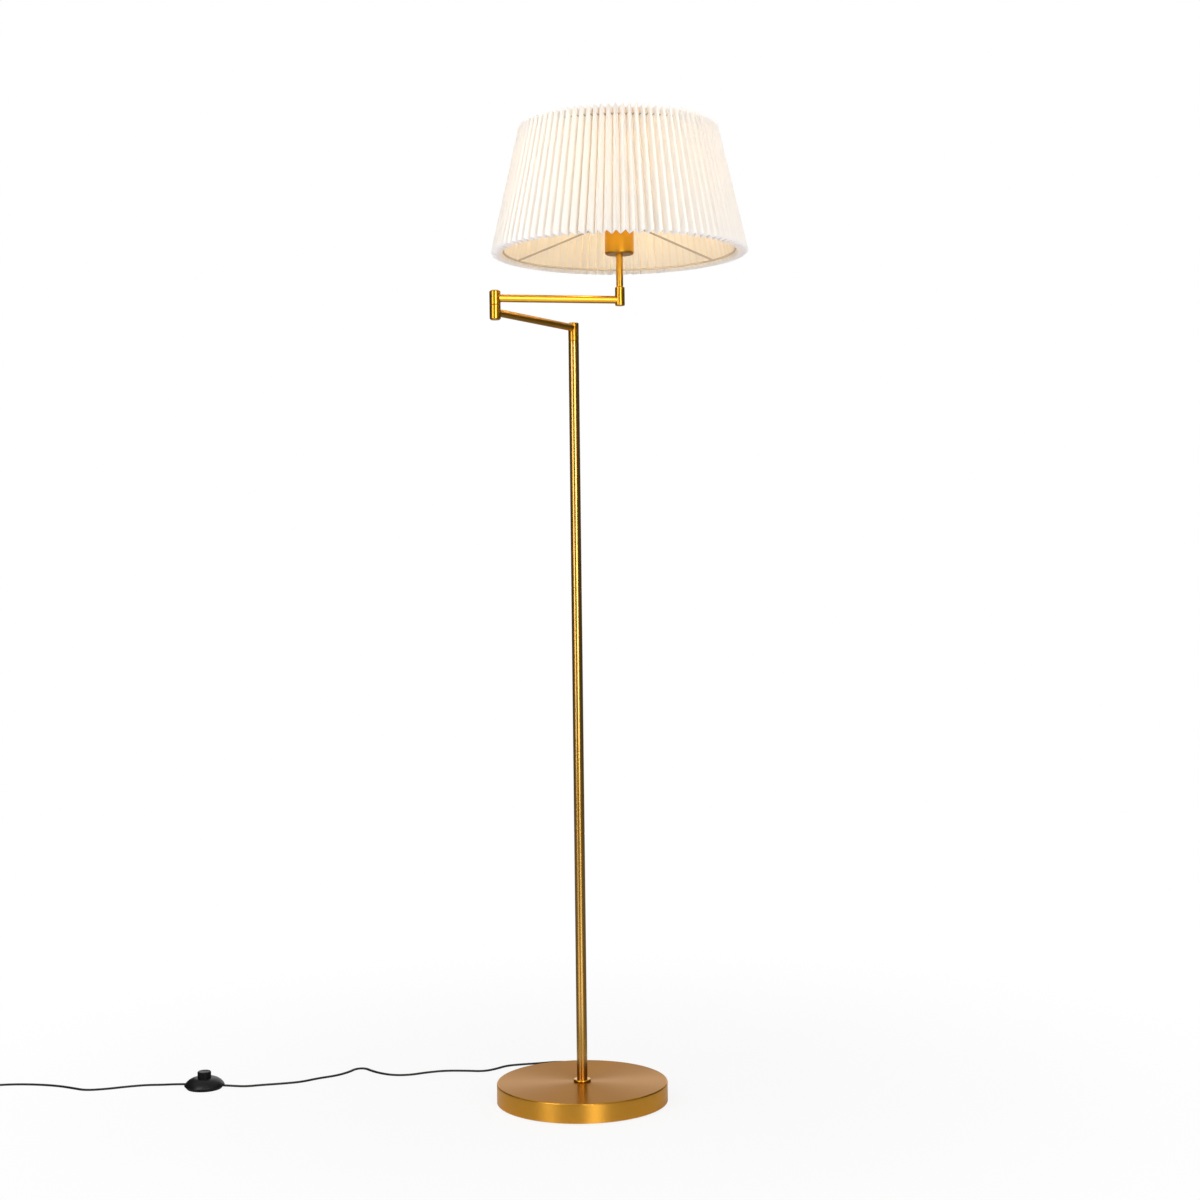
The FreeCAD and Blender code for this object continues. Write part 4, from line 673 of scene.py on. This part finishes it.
def pleat_tree():
    """A grid bent round the shade: across it runs the zigzag, and up it the cone."""
    tree = bpy.data.node_groups.new("pleated_shade", "GeometryNodeTree")
    source, size = named_inputs(tree, SHADE_SIZES)

    def add(kind, **values):
        node = tree.nodes.new(kind)
        for key, value in values.items():
            setattr(node, key, value)
        return node

    def link(start, end):
        tree.links.new(start.socket if isinstance(start, Formula) else start, end)

    def vector(*parts):
        node = add("ShaderNodeCombineXYZ")
        for part, slot in zip(parts, node.inputs):
            link(part, slot)
        return node.outputs[0]

    def chance(seed, identity):
        # inputs 2 and 3 are the lowest and highest number, and input 3 stays at 1
        node = add("FunctionNodeRandomValue", data_type="FLOAT")
        node.inputs[2].default_value = -1
        node.inputs["Seed"].default_value = seed
        link(identity, node.inputs["ID"])
        return Formula(tree, node.outputs[1])

    def store(geometry, name, kind, domain, amount):
        node = add("GeometryNodeStoreNamedAttribute", data_type=kind, domain=domain)
        node.inputs["Name"].default_value = name
        link(geometry, node.inputs["Geometry"])
        link(amount, node.inputs["Value"])
        return node.outputs["Geometry"]

    grid = add("GeometryNodeMeshGrid")
    columns = size["Pleats"] * COLUMNS_PER_PLEAT
    link(columns + 1, grid.inputs["Vertices X"])
    grid.inputs["Vertices Y"].default_value = SHADE_ROWS
    index = Formula(tree, add("GeometryNodeInputIndex").outputs[0])
    column = (index / SHADE_ROWS).combine("FLOOR")
    up = index.combine("MODULO", SHADE_ROWS) / (SHADE_ROWS - 1)

    # how far down its flank a point is, 0 on a ridge and 1 in a valley, eased so that the creases are round
    within = column.combine("MODULO", COLUMNS_PER_PLEAT) / COLUMNS_PER_PLEAT
    straight = (within * 2 - 1).combine("ABSOLUTE") * -1 + 1
    valley = straight - (straight * (2 * math.pi)).combine("SINE") * size["Roundness"] / (2 * math.pi)

    # each pleat's folds lean and twist a little by themselves
    pleat = (column / COLUMNS_PER_PLEAT).combine("FLOOR").combine("MODULO", size["Pleats"])
    lean = chance(PLEAT_SEED, pleat) + chance(PLEAT_SEED + 1, pleat) * (up - 0.5)
    shifted = column + lean * size["Unevenness"] * straight * (COLUMNS_PER_PLEAT / 2)
    angle = shifted / columns * (2 * math.pi)

    slope = size["Bottom Radius"] - size["Top Radius"]
    slant = (slope * slope + size["Rise"] * size["Rise"]).combine("SQRT")
    drop = valley * size["Pleat Depth"]
    radius = size["Bottom Radius"] - slope * up - drop * size["Rise"] / slant
    height = size["Bottom Level"] + size["Rise"] * up - drop * slope / slant
    bend = add("GeometryNodeSetPosition")
    link(grid.outputs["Mesh"], bend.inputs["Geometry"])
    across, aside = radius * angle.combine("COSINE") + HEAD.x, radius * angle.combine("SINE") + HEAD.y
    link(vector(across, aside, height), bend.inputs["Position"])

    # a map of the cloth in metres, along the zigzag and up the slant
    middle_width = (size["Bottom Radius"] + size["Top Radius"] - size["Pleat Depth"]) * math.pi
    half_pleat = middle_width / (size["Pleats"] * 2)
    face = (half_pleat * half_pleat + size["Pleat Depth"] * size["Pleat Depth"]).combine("SQRT")
    rise = slant * up
    cloth = store(bend.outputs["Geometry"], "valley", "FLOAT", "POINT", valley)
    cloth = store(cloth, "level", "FLOAT", "POINT", rise)
    cloth = store(cloth, "UVMap", "FLOAT2", "CORNER", vector(column * face * (2 / COLUMNS_PER_PLEAT), rise))

    merge = add("GeometryNodeMergeByDistance")
    merge.inputs["Distance"].default_value = 0.02 * MM
    link(cloth, merge.inputs["Geometry"])
    realize = add("GeometryNodeRealizeInstances")
    link(merge.outputs["Geometry"], realize.inputs["Geometry"])
    dress = add("GeometryNodeSetMaterial")
    link(realize.outputs["Geometry"], dress.inputs["Geometry"])
    link(source.outputs["Cloth"], dress.inputs["Material"])
    link(dress.outputs["Geometry"], add("NodeGroupOutput").inputs["Geometry"])
    return tree


def grown_mesh(name, tree, settings, thickness):
    """The plain mesh of a geometry tree with the given inputs, as a closed wall of a thickness."""
    carrier = bpy.data.objects.new(name, bpy.data.meshes.new(name))
    bpy.context.collection.objects.link(carrier)
    grower = carrier.modifiers.new("grower", "NODES")
    grower.node_group = tree
    for item in tree.interface.items_tree:
        if item.in_out == "INPUT":
            grower[item.identifier] = settings[item.name]
    wall = carrier.modifiers.new("wall", "SOLIDIFY")
    wall.thickness = thickness
    wall.offset = -1
    evaluated = carrier.evaluated_get(bpy.context.evaluated_depsgraph_get())
    mesh = bpy.data.meshes.new_from_object(evaluated)
    carrier.modifiers.clear()
    bpy.data.objects.remove(carrier)
    return mesh


def make_shade(cloth):
    mesh = grown_mesh("pleated_cloth", pleat_tree(), {**SHADE_SIZES, "Cloth": cloth}, CLOTH_THICKNESS)
    mesh.shade_flat()
    new_object("pleated_shade", mesh, "upper_arm", "pleated_fabric", "shade_fabric")


# ---------------------------------------------------------------- finishes on the CAD nodes and the cords
slot_finish, node_finish = make_materials()
for row in frame["record"]["subparts"]:
    for place in frame["nodes"][row["node"]].material_slots:
        place.link = "OBJECT"
        place.material = node_finish.get(row["node"], slot_finish[row["material_slot"]])
for cord in (base_cord, plug_cord):
    cord.data.materials.append(slot_finish["cord_sheath"])
make_shade(slot_finish["pleated_fabric"])


# ---------------------------------------------------------------- floor, lamps and world
def stage_object(name, mesh):
    thing = bpy.data.objects.new(name, mesh)
    bpy.context.collection.objects.link(thing)
    return thing


def round_sheet(name, inner, outer, height):
    """A flat ring, or a disc where the inner radius is 0."""
    builder = bmesh.new()
    sides = 96
    turn = 2 * math.pi / sides
    directions = [(math.cos(turn * side), math.sin(turn * side)) for side in range(sides)]
    rings = []
    for radius in (inner, outer):
        rings.append([builder.verts.new((radius * x, radius * y, height)) for x, y in directions])
    for side in range(sides):
        following = (side + 1) % sides
        builder.faces.new((rings[0][side], rings[1][side], rings[1][following], rings[0][following]))
    if inner == 0:
        bmesh.ops.remove_doubles(builder, verts=rings[0], dist=0.01 * MM)
    mesh = bpy.data.meshes.new(name)
    builder.to_mesh(mesh)
    builder.free()
    return mesh


FLOOR_RADIUS = 40
FLOOR_GREY = 0.93
WHITE_STARTS = 0.13
WHITE_ENDS = 1.3
WHITE_AT_START = 0.86


def make_floor():
    """A pale floor that keeps the shadow near the lamp and shows whiter to the camera further out."""
    mesh = round_sheet("floor", 0, FLOOR_RADIUS, 0)
    stage_object("floor", mesh)
    material, tree, shader, add = new_material("pale_floor")
    shader.inputs["Base Color"].default_value = (FLOOR_GREY, FLOOR_GREY, FLOOR_GREY, 1)
    shader.inputs["Roughness"].default_value = 0.9
    shader.inputs["Specular IOR Level"].default_value = 0.1
    white = add("Emission", Color=(1, 1, 1, 1), Strength=1.0)
    source = add("TexCoord")
    distance = add("VectorMath", operation="LENGTH")
    tree.links.new(source.outputs["Object"], distance.inputs[0])
    fade = add("MapRange", interpolation_type="SMOOTHSTEP")
    fade.inputs["From Min"].default_value = WHITE_STARTS
    fade.inputs["From Max"].default_value = WHITE_ENDS
    fade.inputs["To Min"].default_value = WHITE_AT_START
    tree.links.new(distance.outputs["Value"], fade.inputs["Value"])
    seen = product(tree, add, add("LightPath").outputs["Is Camera Ray"], fade.outputs["Result"])
    show_both(tree, add, seen, shader.outputs["BSDF"], white.outputs["Emission"])
    mesh.materials.append(material)


STUDIO_TINT = (1, 0.985, 0.96)


def only_reflected(thing, brightness):
    """A studio surface that shows in glossy surfaces alone."""
    material, tree, _, add = new_material(f"{thing.name}_grey")
    grey = add("Emission", Color=(*STUDIO_TINT, 1), Strength=brightness)
    show(tree, grey.outputs["Emission"])
    thing.data.materials.append(material)
    thing.visible_camera = False
    thing.visible_diffuse = False
    thing.visible_transmission = False
    thing.visible_volume_scatter = False
    thing.visible_shadow = False


STUDIO_RADIUS = 4.0
STUDIO_HEIGHT = 3.6
STUDIO_OPENING = math.radians(50)
WALL_BRIGHTNESS = 0.06
CEILING_BRIGHTNESS = 0.50
CARPET_BRIGHTNESS = 0.16
CARPET_STARTS = 0.30
STREAK_WIDTH = 0.5
STREAK_NEAR = 0.5
STREAK_FAR = 3.4


def make_dark_studio():
    """The dark part of the studio: walls all round but for an opening behind, a ceiling, and a floor."""
    builder = bmesh.new()
    sides = 64
    span = 2 * math.pi - STUDIO_OPENING
    previous = None
    for side in range(sides + 1):
        angle = math.pi / 2 + STUDIO_OPENING / 2 + span * side / sides
        x, y = STUDIO_RADIUS * math.cos(angle), STUDIO_RADIUS * math.sin(angle)
        edge = [builder.verts.new((x, y, level)) for level in (0, STUDIO_HEIGHT)]
        if previous:
            builder.faces.new((previous[0], edge[0], edge[1], previous[1]))
        previous = edge
    walls = bpy.data.meshes.new("studio_walls")
    builder.to_mesh(walls)
    builder.free()
    only_reflected(stage_object("studio_walls", walls), WALL_BRIGHTNESS)
    ceiling = round_sheet("studio_ceiling", 0, STUDIO_RADIUS, STUDIO_HEIGHT)
    only_reflected(stage_object("studio_ceiling", ceiling), CEILING_BRIGHTNESS)
    carpet = round_sheet("studio_carpet", CARPET_STARTS, STUDIO_RADIUS, MM)
    only_reflected(stage_object("studio_carpet", carpet), CARPET_BRIGHTNESS)
    make_floor_streak("left_floor_streak", azimuth=-42, brightness=1.3)
    make_floor_streak("right_floor_streak", azimuth=19, brightness=1.7)


def make_floor_streak(name, azimuth, brightness):
    """What a smooth studio floor mirrors of a softbox: a bright strip that runs away from the lamp."""
    angle = math.radians(azimuth)
    along = Vector((math.sin(angle), -math.cos(angle), 0))
    aside = Vector((math.cos(angle), math.sin(angle), 0)) * (STREAK_WIDTH / 2)
    lift = UP * (2 * MM)
    near, far = along * STREAK_NEAR, along * STREAK_FAR
    corners = [near - aside, near + aside, far + aside, far - aside]
    mesh = bpy.data.meshes.new(name)
    mesh.from_pydata([corner + lift for corner in corners], [], [(0, 1, 2, 3)])
    only_reflected(stage_object(name, mesh), brightness)


SOFTBOX_AIM = Vector((0, 0, 0.95))


def make_softbox(name, azimuth, distance, height, size, power):
    """A softbox at an angle in degrees from straight in front, towards the right, that faces the pole."""
    data = bpy.data.lights.new(name, "AREA")
    data.shape = "RECTANGLE"
    data.size, data.size_y = size
    data.energy = power
    softbox = bpy.data.objects.new(name, data)
    bpy.context.collection.objects.link(softbox)
    angle = math.radians(azimuth)
    place = Vector((distance * math.sin(angle), -distance * math.cos(angle), height))
    facing = (SOFTBOX_AIM - place).to_track_quat("-Z", "Y")
    softbox.matrix_world = Matrix.Translation(place) @ facing.to_matrix().to_4x4()


WORLD_FILL = 0.41
WORLD_SEEN = 1.0


def make_world():
    """White behind everything that the camera or a glossy or clear surface sees, and a dimmer fill."""
    world = bpy.data.worlds.new("studio")
    bpy.context.scene.world = world
    world.use_nodes = True
    tree = world.node_tree
    tree.nodes.clear()

    def background(strength):
        node = tree.nodes.new("ShaderNodeBackground")
        node.inputs["Color"].default_value = (1, 1, 1, 1)
        node.inputs["Strength"].default_value = strength
        return node.outputs["Background"]

    def larger(first, second):
        node = tree.nodes.new("ShaderNodeMath")
        node.operation = "MAXIMUM"
        tree.links.new(first, node.inputs[0])
        tree.links.new(second, node.inputs[1])
        return node.outputs[0]

    path = tree.nodes.new("ShaderNodeLightPath").outputs
    seen = larger(path["Is Camera Ray"], larger(path["Is Glossy Ray"], path["Is Transmission Ray"]))
    both = tree.nodes.new("ShaderNodeMixShader")
    tree.links.new(seen, both.inputs["Fac"])
    tree.links.new(background(WORLD_FILL), both.inputs[1])
    tree.links.new(background(WORLD_SEEN), both.inputs[2])
    output = tree.nodes.new("ShaderNodeOutputWorld")
    tree.links.new(both.outputs["Shader"], output.inputs["Surface"])


make_floor()
make_dark_studio()
make_world()
make_softbox("left_softbox", azimuth=-44, distance=3.0, height=1.75, size=(1.0, 3.0), power=33)
make_softbox("right_softbox", azimuth=17, distance=3.1, height=1.5, size=(1.0, 2.6), power=46)
make_softbox("upper_softbox", azimuth=-28, distance=2.6, height=3.3, size=(1.6, 1.2), power=14)
bpy.context.scene.view_settings.view_transform = "Standard"
